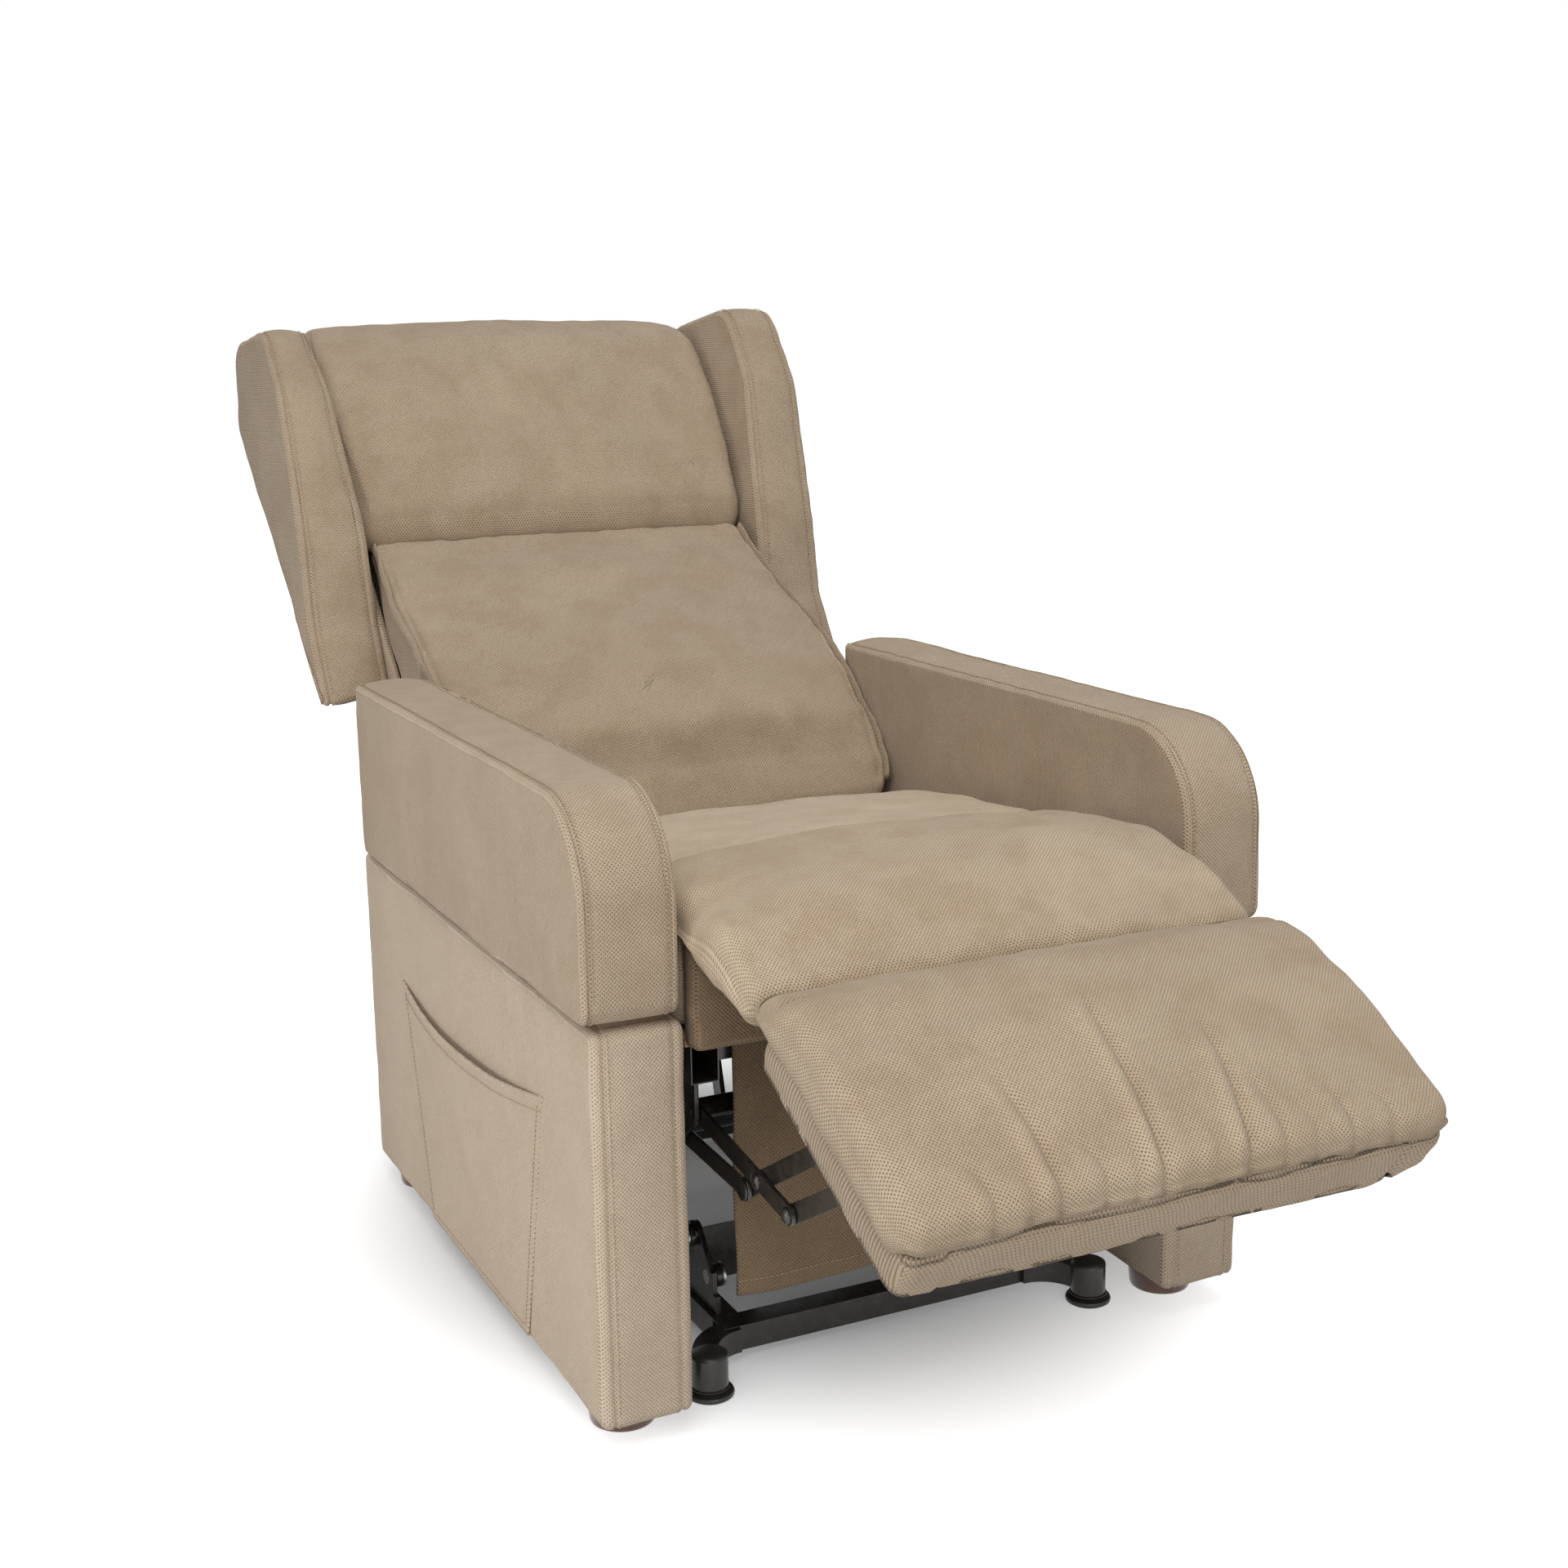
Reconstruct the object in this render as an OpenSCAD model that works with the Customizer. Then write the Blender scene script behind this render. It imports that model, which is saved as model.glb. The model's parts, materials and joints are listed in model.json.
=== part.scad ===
// Power riser recliner with wings, half reclined, footrest raised.
// Lengths in millimetres, up is +Z, the front of the chair faces -Y.
// Inside the modules y is counted backwards from the front of the side panels.

/* [Side panels] */
// Half of the width over the lower side panels
panel_half_width = 370; // [330:5:420]
// Thickness of one lower side panel
panel_thick = 94; // [60:1:120]
// Height of the panel's underside above the floor
panel_bottom = 30; // [20:1:60]
// Height of the panel's top edge
panel_top = 426; // [380:1:470]
// Front to back length of the side panels
panel_depth = 822; // [700:1:900]
// Rounding of the panel's standing corners
panel_corner = 12; // [4:1:24]

/* [Arm pads] */
// Overhang of the arm pad outside the panel
arm_overhang = 10; // [4:1:20]
// Thickness of one arm pad
arm_thick = 96; // [70:1:120]
// Gap between the panel and the arm pad
arm_gap = 9; // [5:1:16]
// Height of the arm pad itself
arm_height = 207; // [160:1:240]
// Radius of the arm pad's round front
arm_front_radius = 165; // [100:1:190]
// Radius of the arm pad's rear top corner
arm_rear_radius = 24; // [10:1:40]
// Length of the arm pad behind the panel's front
arm_length = 802; // [680:1:880]
// How far the arm pad stands before the panel's front
arm_forward = 8; // [0:1:20]

/* [Gaps across the chair] */
// Gap between the seat deck and a side panel
deck_gap = 8; // [6:0.5:20]
// Gap between the seat cushion and a side panel
cushion_gap = 2; // [1:0.5:10]
// Gap between the leg bridge pad and the line of a side panel
bridge_gap = 4; // [2:0.5:10]
// Gap between the footrest board and the line of a side panel
board_gap = 6; // [4:0.5:16]
// Gap between the seat frame's side rails and a side panel
rail_gap = 14; // [12:0.5:20]
// Inner links inside the outer faces of the side rails
link_inset = 54; // [50:1:60]
// Lift brackets inside the inner links
bracket_inset = 30; // [28:1:40]
// Hanging flap's edge inside the inner links
flap_inset = 9; // [6:1:20]
// Middle of a bun foot inside the line of a side panel
bun_inset = 48; // [44:1:60]
// Gap between the back shell's lower part and a side panel
shell_low_gap = 22; // [20:0.5:30]
// Gap between the back shell's upper part and the line of an arm pad
shell_high_gap = 3; // [2:0.5:10]
// Gap between the lumbar pad and an arm pad
lumbar_gap = 3; // [1:0.5:10]
// Narrowing of the lumbar pad at its foot, between the pivots
lumbar_taper = 23; // [20:1:40]
// Narrowing of the lumbar pad at the back's seam, inside the back shell
lumbar_top_inset = 13; // [5:1:30]
// Head pillow's edge inside the back shell's edge
head_inset = 5; // [2:0.5:20]
// Wing's outer face inside the line of an arm pad
wing_inset = 5; // [0:0.5:20]

/* [Pocket] */
// Width of the side pocket at its mouth
pocket_mouth = 494; // [300:1:600]
// Width of the side pocket at its foot
pocket_foot = 336; // [250:1:500]
// Distance of the pocket's front top corner behind the panel's front
pocket_front = 134; // [60:1:200]
// Height of the pocket's mouth
pocket_top = 324; // [280:1:380]
// Height of the pocket's foot above the panel's underside
pocket_rise = 6; // [2:1:40]
// Thickness of the pocket's cloth
pocket_cloth = 2.4; // [1.5:0.1:4]
// Inside gap of the pocket at its mouth
pocket_gap = 6.6; // [4.6:0.1:7.4]
// How far the mouth sags in its middle
pocket_sag = 20; // [5:1:40]

/* [Wooden feet] */
// Radius of a wooden foot
foot_radius = 36; // [20:1:42]
// Distance of the front wooden feet behind the panel's front
foot_front_y = 74; // [50:1:120]
// Distance of the rear wooden feet before the panel's rear end
foot_rear_inset = 74; // [50:1:120]

/* [Seat] */
// Height of the seat deck's underside, on top of the steel rails
deck_bottom = 392; // [360:1:420]
// Thickness of the seat deck
deck_thick = 12; // [8:1:20]
// Length of the seat deck behind the panel's front
deck_length = 552; // [480:1:558]
// Height of the seat's front fascia above the deck's underside
fascia_height = 107; // [90:1:120]
// Thickness of the front fascia
fascia_thick = 22; // [14:1:30]
// Thickness of a webbing strap
strap_thick = 3; // [2:0.5:4]
// Width of a webbing strap
strap_width = 50; // [40:1:60]
// Number of straps across the seat
strap_count = 6; // [4:1:8]
// Edge height of the seat cushion at its rear, above the straps
cushion_rear_height = 74; // [50:1:90]
// Edge height of the seat cushion at its front, above the straps
cushion_front_height = 91.5; // [60:0.5:91.5]
// Extra height in the middle of the seat cushion
cushion_crown = 14; // [0:1:30]
// Reach of the seat cushion behind the seat deck
cushion_overhang = 1; // [0:0.5:4]

/* [Leg bridge] */
// Rear end of the leg bridge pad behind the panel's front
bridge_rear_y = 168; // [120:1:220]
// Front end of the leg bridge pad before the panel's front
bridge_reach = 137; // [110:1:140]
// Drop of the leg bridge pad from its crest to its front end
bridge_drop = 40; // [20:1:44]
// Thickness of the leg bridge pad at its crest
bridge_thick = 44; // [30:1:54]

/* [Footrest] */
// Distance of the footrest board's rear top edge before the panel's front
board_rear = 163; // [150:1:175]
// Height of the footrest board's rear top edge
board_rear_height = 465; // [450:1:475]
// Downward slope of the footrest board
board_slope = 27; // [20:1:32]
// Length of the footrest board
board_length = 270; // [240:1:300]
// Thickness of the footrest board
board_thick = 34; // [24:1:40]
// Thickness of the footrest pillow at its side edges
pillow_edge = 44; // [30:1:60]
// Extra thickness in the middle of the footrest pillow
pillow_crown = 20; // [5:1:30]
// Thickness of a footrest bracket plate
bracket_plate = 4; // [3:0.5:6]

/* [Back] */
// Distance of the recline pivot behind the panel's front
back_pivot_y = 690; // [670:1:710]
// Height of the recline pivot
back_pivot_z = 400; // [390:1:410]
// Lean of the back from upright, as photographed
back_lean = 45; // [30:1:50]
// Distance of the back shell's front plane behind the pivot
shell_front = 20; // [14:1:30]
// Distance of the back shell's rear plane behind the pivot
shell_rear = 98; // [80:1:110]
// Thickness of the back shell's walls
shell_wall = 10; // [6:1:14]
// Start of the back shell along the back
shell_start = 24; // [20:1:60]
// End of the back shell along the back
shell_end = 846; // [780:1:900]
// Height along the back where the shell widens above the arms
shell_step = 310; // [290:1:360]
// Size of a back frame tube
frame_tube = 26; // [20:1:32]
// Reach of the lumbar pad's edge before the pivot, at its foot
lumbar_reach = 120; // [90:1:122]
// Extra thickness in the middle of the lumbar pad
lumbar_crown = 24; // [5:1:30]
// Place along the back of the seam between the back's two pads
back_seam = 530; // [480:1:580]
// End of the head pillow along the back
pillow_end = 924; // [880:1:960]
// Reach of the head pillow's edge before the pivot, where it is fullest
pillow_reach = 74; // [50:1:90]
// Extra thickness in the middle of the head pillow
head_crown = 14; // [5:1:30]

/* [Wings] */
// Splay of the wing's inner face at its front
wing_splay = 28; // [10:1:40]
// Place of the wing's lower tip along the back
wing_tip = 352; // [330:1:380]
// Place of the wing's rear top corner along the back
wing_rear_top = 850; // [800:1:900]
// Place of the wing's highest corner along the back
wing_high = 908; // [880:1:930]
// Reach of the wing before the pivot, at head height
wing_reach = 146; // [110:1:170]
// Depth of the wing behind the pivot
wing_depth = 103; // [90:1:120]
// Rounding of the wing's outline
wing_round = 20; // [10:1:26]

/* [Footrest linkage] */
// Width of a link
link_width = 20; // [18:1:21]
// Thickness of a link
link_thick = 4; // [3:0.5:5]
// Gap between two links beside each other
link_gap = 1; // [0.6:0.1:1.5]
// Radius of a link rivet
rivet_radius = 4; // [3:0.5:5]
// Main link's pivot behind the panel's front
main_y = 125; // [115:1:135]
// Main link's pivot height
main_z = 286; // [280:1:292]
// Crossing rivet before the panel's front
cross_front = 23.7; // [20:0.1:28]
// Crossing rivet height
cross_z = 265; // [260:0.5:270]
// Main link's front rivet before the panel's front
front_rivet_front = 88.9; // [84:0.1:94]
// Main link's front rivet height
front_rivet_z = 255.7; // [250:0.1:260]
// Lower link's pivot behind the panel's front
lower_y = 168.5; // [162:0.5:174]
// Lower link's pivot height
lower_z = 249.8; // [245:0.1:255]
// Cross link's lower rivet behind the panel's front
stud_y = 8.4; // [5:0.1:12]
// Cross link's lower rivet height
stud_z = 244.6; // [240:0.1:250]
// Footrest bracket's rear rivet before the panel's front
rear_rivet_front = 195.5; // [190:0.5:200]
// Footrest bracket's rear rivet height
rear_rivet_z = 366.3; // [360:0.1:370]
// Footrest bracket's front rivet before the panel's front
strut_rivet_front = 260.3; // [255:0.1:266]
// Footrest bracket's front rivet height
strut_rivet_z = 355.5; // [350:0.5:360]
// Radius of the drive tube between the main links
drive_tube_radius = 11; // [9:1:14]
// Length of the drive tube's lever, pivot to rod
drive_lever_length = 45; // [40:1:50]

/* [Lift linkage] */
// Width of a lift arm
lift_width = 26; // [20:1:30]
// Thickness of a lift arm
lift_thick = 6; // [4:1:8]
// Gap between a lift arm and its bracket
lift_gap = 2; // [1:0.5:3]
// Lower arm's base pivot behind the panel's front
low_arm_y = 181; // [175:1:187]
// Lower arm's base pivot height
low_arm_z = 74; // [68:1:80]
// Upper arm's base pivot behind the panel's front
high_arm_y = 212; // [206:1:218]
// Upper arm's base pivot height
high_arm_z = 110.3; // [104:0.1:116]
// Lower arm's seat pivot behind the panel's front
low_seat_y = 544.8; // [538:0.1:550]
// Lower arm's seat pivot height
low_seat_z = 95.7; // [90:0.1:101]
// Upper arm's seat pivot behind the panel's front
high_seat_y = 621.9; // [616:0.1:628]
// Upper arm's seat pivot height
high_seat_z = 152.4; // [147:0.1:158]
// Radius of a lift pivot pin
lift_pin = 8; // [6:1:9]
// Radius of the torque tube between the lower arms
torque_radius = 13; // [11:1:15]
// Length of the lift lever, pivot to rod
lift_lever_length = 90; // [84:1:96]

/* [Base] */
// Height of a base tube
base_tube_height = 28; // [20:1:34]
// Width of a base tube
base_tube_width = 30; // [24:1:36]
// Height of the base tubes above the floor
base_lift = 12; // [8:1:18]
// Front face of the front crossbar behind the panel's front
crossbar_y = 124; // [110:1:136]
// Rear face of the rear crossbar behind the panel's front
rear_bar_y = 708; // [690:1:730]
// Radius of a bun foot
bun_radius = 25; // [18:1:30]
// Height of the plate behind the front crossbar
cross_plate_height = 62; // [40:1:70]

/* [Seat frame] */
// Wall of the square steel tubes
tube_wall = 2; // [1.5:0.5:3]
// Height of a seat frame tube
rail_height = 40; // [30:1:50]
// Width of a seat frame tube
rail_width = 30; // [24:1:34]
// Front end of the side rails behind the panel's front
rail_start = 24; // [22:1:60]
// Thickness of the seat frame's plates
plate_thick = 5; // [4:1:6]

/* [Actuators] */
// Radius of an actuator's housing
housing_radius = 22; // [18:1:26]
// Radius of an actuator's rod
rod_radius = 8; // [6:1:10]
// Sideways place of the footrest and back actuators
side_actuator_x = 75; // [60:5:100]
// Length of the back lever, pivot to rod
back_lever_length = 80; // [74:1:86]
// Radius of an actuator's cross pin
cross_pin = 4; // [3:0.5:5]
// Length of the footrest actuator's housing
footrest_housing_length = 272; // [240:1:300]
// Length of the back actuator's housing
back_housing_length = 270; // [240:1:300]
// Length of the lift actuator's housing
lift_housing_length = 180; // [150:1:200]
// Length of the motor at a housing's end
motor_length = 70; // [50:1:90]
// Length of a rod inside its housing, as photographed
rod_depth = 95; // [80:1:110]
// Gap between the footrest actuator and its rod's fork, footrest folded
footrest_fork_gap = 23; // [5:1:40]
// Gap between the back actuator and its rod's fork, back reclined
back_fork_gap = 19; // [5:1:40]
// Gap between the lift actuator and its rod's fork, chair down
lift_fork_gap = 7; // [4:1:20]

/* [Front flap] */
// Height of the flap's lower edge
flap_bottom = 106; // [90:1:140]
// Distance of the flap behind the panel's front
flap_y = 66; // [60:1:70]
// Thickness of the flap's cloth
flap_thick = 3; // [2:0.5:4]
// Depth of the flap's soft folds
flap_fold = 3; // [0:0.5:4]

/* [Clearances] */
// Gap around a pin that turns in a bore
running_gap = 0.05; // [0.02:0.01:0.1]
// Gap between a soft pad and a neighbour on another body
soft_gap = 0.3; // [0.2:0.05:0.6]
// Gap all round at the lower link's opened pivot
open_gap = 3.9; // [3.7:0.1:4.2]
// Gap all round at the strut's opened pivot
strut_gap = 0.6; // [0.5:0.05:1]
// Gap all round at the upper lift arm's opened pivot
lift_open_gap = 0.9; // [0.8:0.05:1.2]
// Gap on each side of a rod's pin in its lever's slot
slot_gap = 1.1; // [1:0.1:1.5]

/* [Hidden] */
$fn = 48;
eps = 0.01;

panel_inner = panel_half_width - panel_thick;
arm_outer = panel_half_width + arm_overhang;
arm_inner = arm_outer - arm_thick;
arm_bottom = panel_top + arm_gap;
arm_top = arm_bottom + arm_height;
wing_half_width = arm_outer - wing_inset;
deck_half_width = panel_inner - deck_gap;
cushion_half_width = panel_inner - cushion_gap;
cushion_rear_y = deck_length + cushion_overhang;
bridge_half_width = panel_inner - bridge_gap;
board_half_width = panel_inner - board_gap;
shell_low_half = panel_inner - shell_low_gap;
shell_high_half = arm_inner - shell_high_gap;
lumbar_half_width = arm_inner - lumbar_gap;
lumbar_foot_half = lumbar_half_width - lumbar_taper;
lumbar_top_half = shell_high_half - lumbar_top_inset;
head_half_width = shell_high_half - head_inset;
rail_outer = panel_inner - rail_gap;
link_plane = rail_outer - link_inset;
bracket_plane = link_plane - bracket_inset;
flap_half_width = link_plane - flap_inset;
bun_x = panel_inner - bun_inset;

sin_lean = sin(back_lean);
cos_lean = cos(back_lean);
frame_front = -shell_front;
frame_rear = frame_front - frame_tube;
frame_half = shell_low_half - shell_wall - 4;
frame_start = shell_start + 4;
frame_end = shell_end - shell_wall - 4;
board_front_y = -board_rear - board_length * cos(board_slope);
front_reach = board_front_y;
wing_corner_y = back_pivot_y + (wing_rear_top - wing_round) * sin_lean
  + (wing_depth - wing_round) * cos_lean + wing_round;
shell_corner_y = back_pivot_y + shell_end * sin_lean + shell_rear * cos_lean;
rear_reach = max(wing_corner_y, shell_corner_y);
middle_y = (rear_reach + front_reach) / 2;
back_pivot = [back_pivot_y, back_pivot_z];
// A point of the back's side view: d along the back, n before the pivot
function back_point(d, n) =
  [back_pivot_y + d * sin_lean - n * cos_lean, back_pivot_z + d * cos_lean + n * sin_lean];

rail_top = deck_bottom;
rail_bottom = rail_top - rail_height;
rail_inner = rail_outer - rail_width;
fascia_top = deck_bottom + fascia_height;
deck_top = deck_bottom + deck_thick;
strap_top = deck_top + strap_thick;
cushion_bottom = strap_top + soft_gap;
cushion_front_y = fascia_thick + soft_gap;
rear_tube_end = deck_length;
rail_end = rear_tube_end + 8;
rear_tube_start = rear_tube_end - rail_width;
front_tube_start = flap_y + flap_thick + 2 * flap_fold + 2;
middle_tube_start = 0.6 * deck_length;
tube_y = [front_tube_start, middle_tube_start, rear_tube_start];
back_plate_x = rail_outer;
back_bracket_x = shell_low_half;

inner_link = link_plane;
outer_link = link_plane + link_thick + link_gap;
link_plate = outer_link + link_thick + link_gap;
rivet_head = 2 * rivet_radius;
rivet_lid = 2;
stud_lid = rivet_radius + open_gap + 3;
stub_radius = 2 * rivet_radius;
bar_shoulder = 0.5;
weld_gap = 0.02;

main_point = [main_y, main_z];
cross_point = [-cross_front, cross_z];
front_point = [-front_rivet_front, front_rivet_z];
lower_point = [lower_y, lower_z];
stud_point = [stud_y, stud_z];
rear_point = [-rear_rivet_front, rear_rivet_z];
strut_point = [-strut_rivet_front, strut_rivet_z];

low_arm = [low_arm_y, low_arm_z];
high_arm = [high_arm_y, high_arm_z];
low_seat = [low_seat_y, low_seat_z];
high_seat = [high_seat_y, high_seat_z];
inner_arm = bracket_plane - lift_gap - lift_thick;
outer_arm = bracket_plane + lift_thick + lift_gap;
lift_head = 13;
open_pin = lift_pin - 2;
lid = 3;

base_bottom = base_lift;
base_top = base_lift + base_tube_height;
rear_bar_start = rear_bar_y - base_tube_width;
base_rail_inner = bracket_plane + lift_thick + 6 - base_tube_width;
base_rail_outer = base_rail_inner + base_tube_width;
arc_width = 26;
arc_x = base_rail_outer - 18;
arc_radius = bun_x - arc_x;
bun_front_y = crossbar_y + arc_width / 2 - 6 - arc_radius;
bun_rear_y = rear_bar_y - arc_width / 2 + 6 + arc_radius;
post_radius = 19;
bun_stem = 5;
stem_depth = 20;

// Half of the drive's swing from raised to folded, and the rod's place on it
drive_half_swing = 30.65;
drive_rate = 1.08;
drive_rod_y = main_y - drive_lever_length * drive_rate * drive_half_swing * PI / 180;
drive_rod_z = main_z - drive_lever_length;
back_mid = 7;
back_half_swing = 25;
back_rate = 1.0515;
back_rod_y = back_pivot_y - back_lever_length * back_rate * back_mid * PI / 180;
back_rod_z = back_pivot_z - back_lever_length;
lift_half_swing = 16.25;
lift_rate = 1.02;
lift_rod_y = low_seat_y + lift_lever_length * lift_rate * lift_half_swing * PI / 180;
lift_rod_z = low_seat_z + lift_lever_length;
lever_thick = 6;
lever_width = 24;
fork_inner = lever_thick / 2 + 2;
fork_outer = fork_inner + 4;
fork_reach = lever_width + 10;
fork_half = 9;
fork_web = 12;
// Mouths of the three housings, clear of their forks over the whole travel
footrest_mouth = 2 * main_y - drive_rod_y + fork_reach + footrest_fork_gap;
back_travel = back_lever_length * back_rate * back_half_swing * PI / 180;
back_mouth = back_pivot_y - back_travel - fork_reach - back_fork_gap;
lift_mouth = lift_rod_y + fork_reach + lift_fork_gap;
hanger_half = 14;
hanger_long = 30;

// One rounded value between two, for the soft forms
function blend(a, b, s) = a + (b - a) * s;
function ease(s) = s <= 0 ? 0 : s >= 1 ? 1 : s * s * (3 - 2 * s);
function signed_power(v, p) = v < 0 ? -pow(-v, p) : pow(v, p);
function spread(k, n) = (1 - cos(180 * k / n)) / 2;

fabric = [0.66, 0.57, 0.46];
fabric_dark = [0.55, 0.47, 0.38];
steel = [0.12, 0.12, 0.13];
bright = [0.45, 0.45, 0.47];
plastic = [0.08, 0.08, 0.09];
timber = [0.40, 0.16, 0.09];

module place() { translate([0, -middle_y, 0]) children(); }
module both() {
  children();
  mirror([1, 0, 0]) children();
}
module left() { mirror([1, 0, 0]) children(); }
// Turns a flat outline in y and z into a plate of a given thickness at x
module plate(x, thick) {
  translate([x, 0, 0]) rotate([90, 0, 90]) linear_extrude(thick) children();
}
// Square steel tube along one axis, open at its ends: x, y or z
module tube(x0, x1, y0, y1, z0, z1, axis) {
  w = tube_wall;
  dx = axis == "x" ? -1 : w;
  dy = axis == "y" ? -1 : w;
  dz = axis == "z" ? -1 : w;
  difference() {
    block(x0, x1, y0, y1, z0, z1);
    block(x0 + dx, x1 - dx, y0 + dy, y1 - dy, z0 + dz, z1 - dz);
  }
}
module disc(p, r) { translate([p[0], p[1]]) circle(r); }
// Outline of a flat bar between two points, with round eyes a little wider than its neck
module bar(p, q, width) {
  d = [q[0] - p[0], q[1] - p[1]];
  long = norm(d);
  neck = width - 2 * bar_shoulder;
  disc(p, width / 2);
  disc(q, width / 2);
  translate([p[0], p[1]]) rotate(atan2(d[1], d[0])) translate([0, -neck / 2]) square([long, neck]);
}
module pin(p, x0, x1, r) { plate(x0, x1 - x0) disc(p, r); }
module block(x0, x1, y0, y1, z0, z1) {
  translate([x0, y0, z0]) cube([x1 - x0, y1 - y0, z1 - z0]);
}
// Puts the back's own axes, along the back and before it, into y and z
module on_back() {
  translate([0, back_pivot_y, back_pivot_z]) rotate([-back_lean, 0, 0]) children();
}
// A block in the back's axes: d along the back, n before the pivot
module back_block(x0, x1, n0, n1, d0, d1) { on_back() block(x0, x1, -n1, -n0, d0, d1); }

// A soft form from rings: each ring lies across the path, in x and the normal.
// A row is y, z, normal angle, half width, rise, fall, crown.
ring_count = 26;
function ring(row) =
  [for (i = [0 : ring_count - 1])
    let (a = 360 * (i + 0.5) / ring_count,
         u = signed_power(cos(a), 0.42),
         v = signed_power(sin(a), 0.62),
         h = v > 0 ? row[4] * v + row[6] * v * (1 - u * u) : row[5] * v)
    [row[3] * u, row[0] + h * cos(row[2]), row[1] + h * sin(row[2])]];
module soft(rows) {
  n = ring_count;
  m = len(rows);
  run = rows[m - 1] - rows[0];
  turned = run[0] * sin(rows[0][2]) - run[1] * cos(rows[0][2]) < 0;
  points = [for (row = rows) each ring(row)];
  sides = [for (k = [0 : m - 2]) for (i = [0 : n - 1]) let (j = (i + 1) % n)
    each [[k * n + i, k * n + j, (k + 1) * n + j], [k * n + i, (k + 1) * n + j, (k + 1) * n + i]]];
  start = [for (i = [1 : n - 2]) [0, i + 1, i]];
  finish = [for (i = [1 : n - 2]) [(m - 1) * n, (m - 1) * n + i, (m - 1) * n + i + 1]];
  faces = concat(sides, start, finish);
  polyhedron(points = points, faces = turned ? [for (f = faces) [f[0], f[2], f[1]]] : faces);
}
function end_round(s, p, q) = pow(max(0.0004, 1 - pow(abs(2 * s - 1), p)), q);

module upper_profile() {
  difference() {
    union() {
      translate([arm_front_radius - arm_forward, arm_bottom])
        square([arm_length - arm_front_radius + arm_forward - arm_rear_radius, arm_height]);
      translate([-arm_forward, arm_bottom])
        square([arm_length + arm_forward, arm_height - arm_front_radius]);
      translate([arm_length - arm_rear_radius - eps, arm_bottom])
        square([arm_rear_radius + eps, arm_height - arm_rear_radius]);
      translate([arm_front_radius - arm_forward, arm_top - arm_front_radius])
        circle(arm_front_radius, $fn = 96);
      translate([arm_length - arm_rear_radius, arm_top - arm_rear_radius]) circle(arm_rear_radius);
    }
    translate([-arm_forward - 1, arm_bottom - arm_front_radius]) square([arm_length + 10, arm_front_radius]);
  }
}

module arm_pad_right() {
  color(fabric) place() plate(arm_inner, arm_thick) upper_profile();
}
module arm_pad_left() { left() arm_pad_right(); }

module panel_plan() {
  w = panel_thick;
  r = panel_corner;
  translate([panel_inner, 0]) {
    translate([r, 0]) square([w - 2 * r, panel_depth]);
    translate([0, r]) square([w, panel_depth - 2 * r]);
    for (x = [r, w - r]) for (y = [r, panel_depth - r]) translate([x, y]) circle(r);
  }
}
module side_panel_right() {
  inset = 14;
  color(fabric) place() {
    translate([0, 0, panel_bottom]) linear_extrude(panel_top - panel_bottom) panel_plan();
    block(panel_inner + inset, panel_half_width - inset, inset, panel_depth - 2 * inset,
          panel_top - eps, arm_bottom);
  }
}
module side_panel_left() { left() side_panel_right(); }

// Side pocket on the left panel, a cloth face that leans out from the panel
module pocket_outline(inset) {
  foot_z = panel_bottom + pocket_rise;
  front_foot = pocket_front + (pocket_mouth - pocket_foot) / 2;
  steps = 10;
  mouth = [for (k = [0 : steps]) let (s = k / steps)
    [pocket_front + inset + (pocket_mouth - 2 * inset) * s, pocket_top - pocket_sag * sin(180 * s)]];
  foot = [[front_foot + pocket_foot - inset, foot_z + inset], [front_foot + inset, foot_z + inset]];
  polygon(concat(mouth, foot));
}
// A body that is thicker at the pocket's mouth than at its foot
module pocket_wedge(at_mouth, at_foot) {
  y0 = pocket_front - 10;
  y1 = pocket_front + pocket_mouth + 10;
  foot_z = panel_bottom;
  mouth_z = pocket_top + 5;
  translate([0, y1, 0]) rotate([90, 0, 0]) linear_extrude(y1 - y0)
    polygon([[0, foot_z], [at_foot, foot_z], [at_mouth, mouth_z], [0, mouth_z]]);
}
module side_pocket() {
  foot_gap = 1;
  hem = 5;
  color(fabric_dark) left() place() translate([panel_half_width, 0, 0]) difference() {
    intersection() {
      plate(0, 30) pocket_outline(0);
      pocket_wedge(pocket_gap + pocket_cloth, foot_gap + pocket_cloth);
    }
    intersection() {
      plate(-1, 30) union() {
        pocket_outline(hem);
        translate([0, hem + 3]) pocket_outline(hem);
      }
      translate([-eps, 0, 0]) pocket_wedge(pocket_gap, foot_gap);
    }
  }
}

module wooden_feet() {
  color(timber) place() both() for (y = [foot_front_y, panel_depth - foot_rear_inset])
    translate([panel_inner + panel_thick / 2, y, 0])
      cylinder(r1 = foot_radius - 4, r2 = foot_radius, h = panel_bottom);
}

// Black steel base on the floor
module outrigger_arc() {
  difference() {
    circle(arc_radius + arc_width / 2);
    circle(arc_radius - arc_width / 2);
    translate([-arc_radius * 2, -arc_radius * 2]) square([arc_radius * 4, arc_radius * 2]);
    translate([-arc_radius * 2, -arc_radius * 2]) square([arc_radius * 2, arc_radius * 4]);
  }
}
module base_rails() {
  color(steel) place() both()
    tube(base_rail_inner, base_rail_outer, crossbar_y + base_tube_width, rear_bar_start,
         base_bottom, base_top, "y");
}
module crossbar(start) {
  block(-base_rail_outer, base_rail_outer, start, start + base_tube_width, base_bottom, base_top);
}
module base_crossbars() {
  color(steel) place() for (y = [crossbar_y, rear_bar_start])
    tube(-base_rail_outer, base_rail_outer, y, y + base_tube_width, base_bottom, base_top, "x");
}
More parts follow.
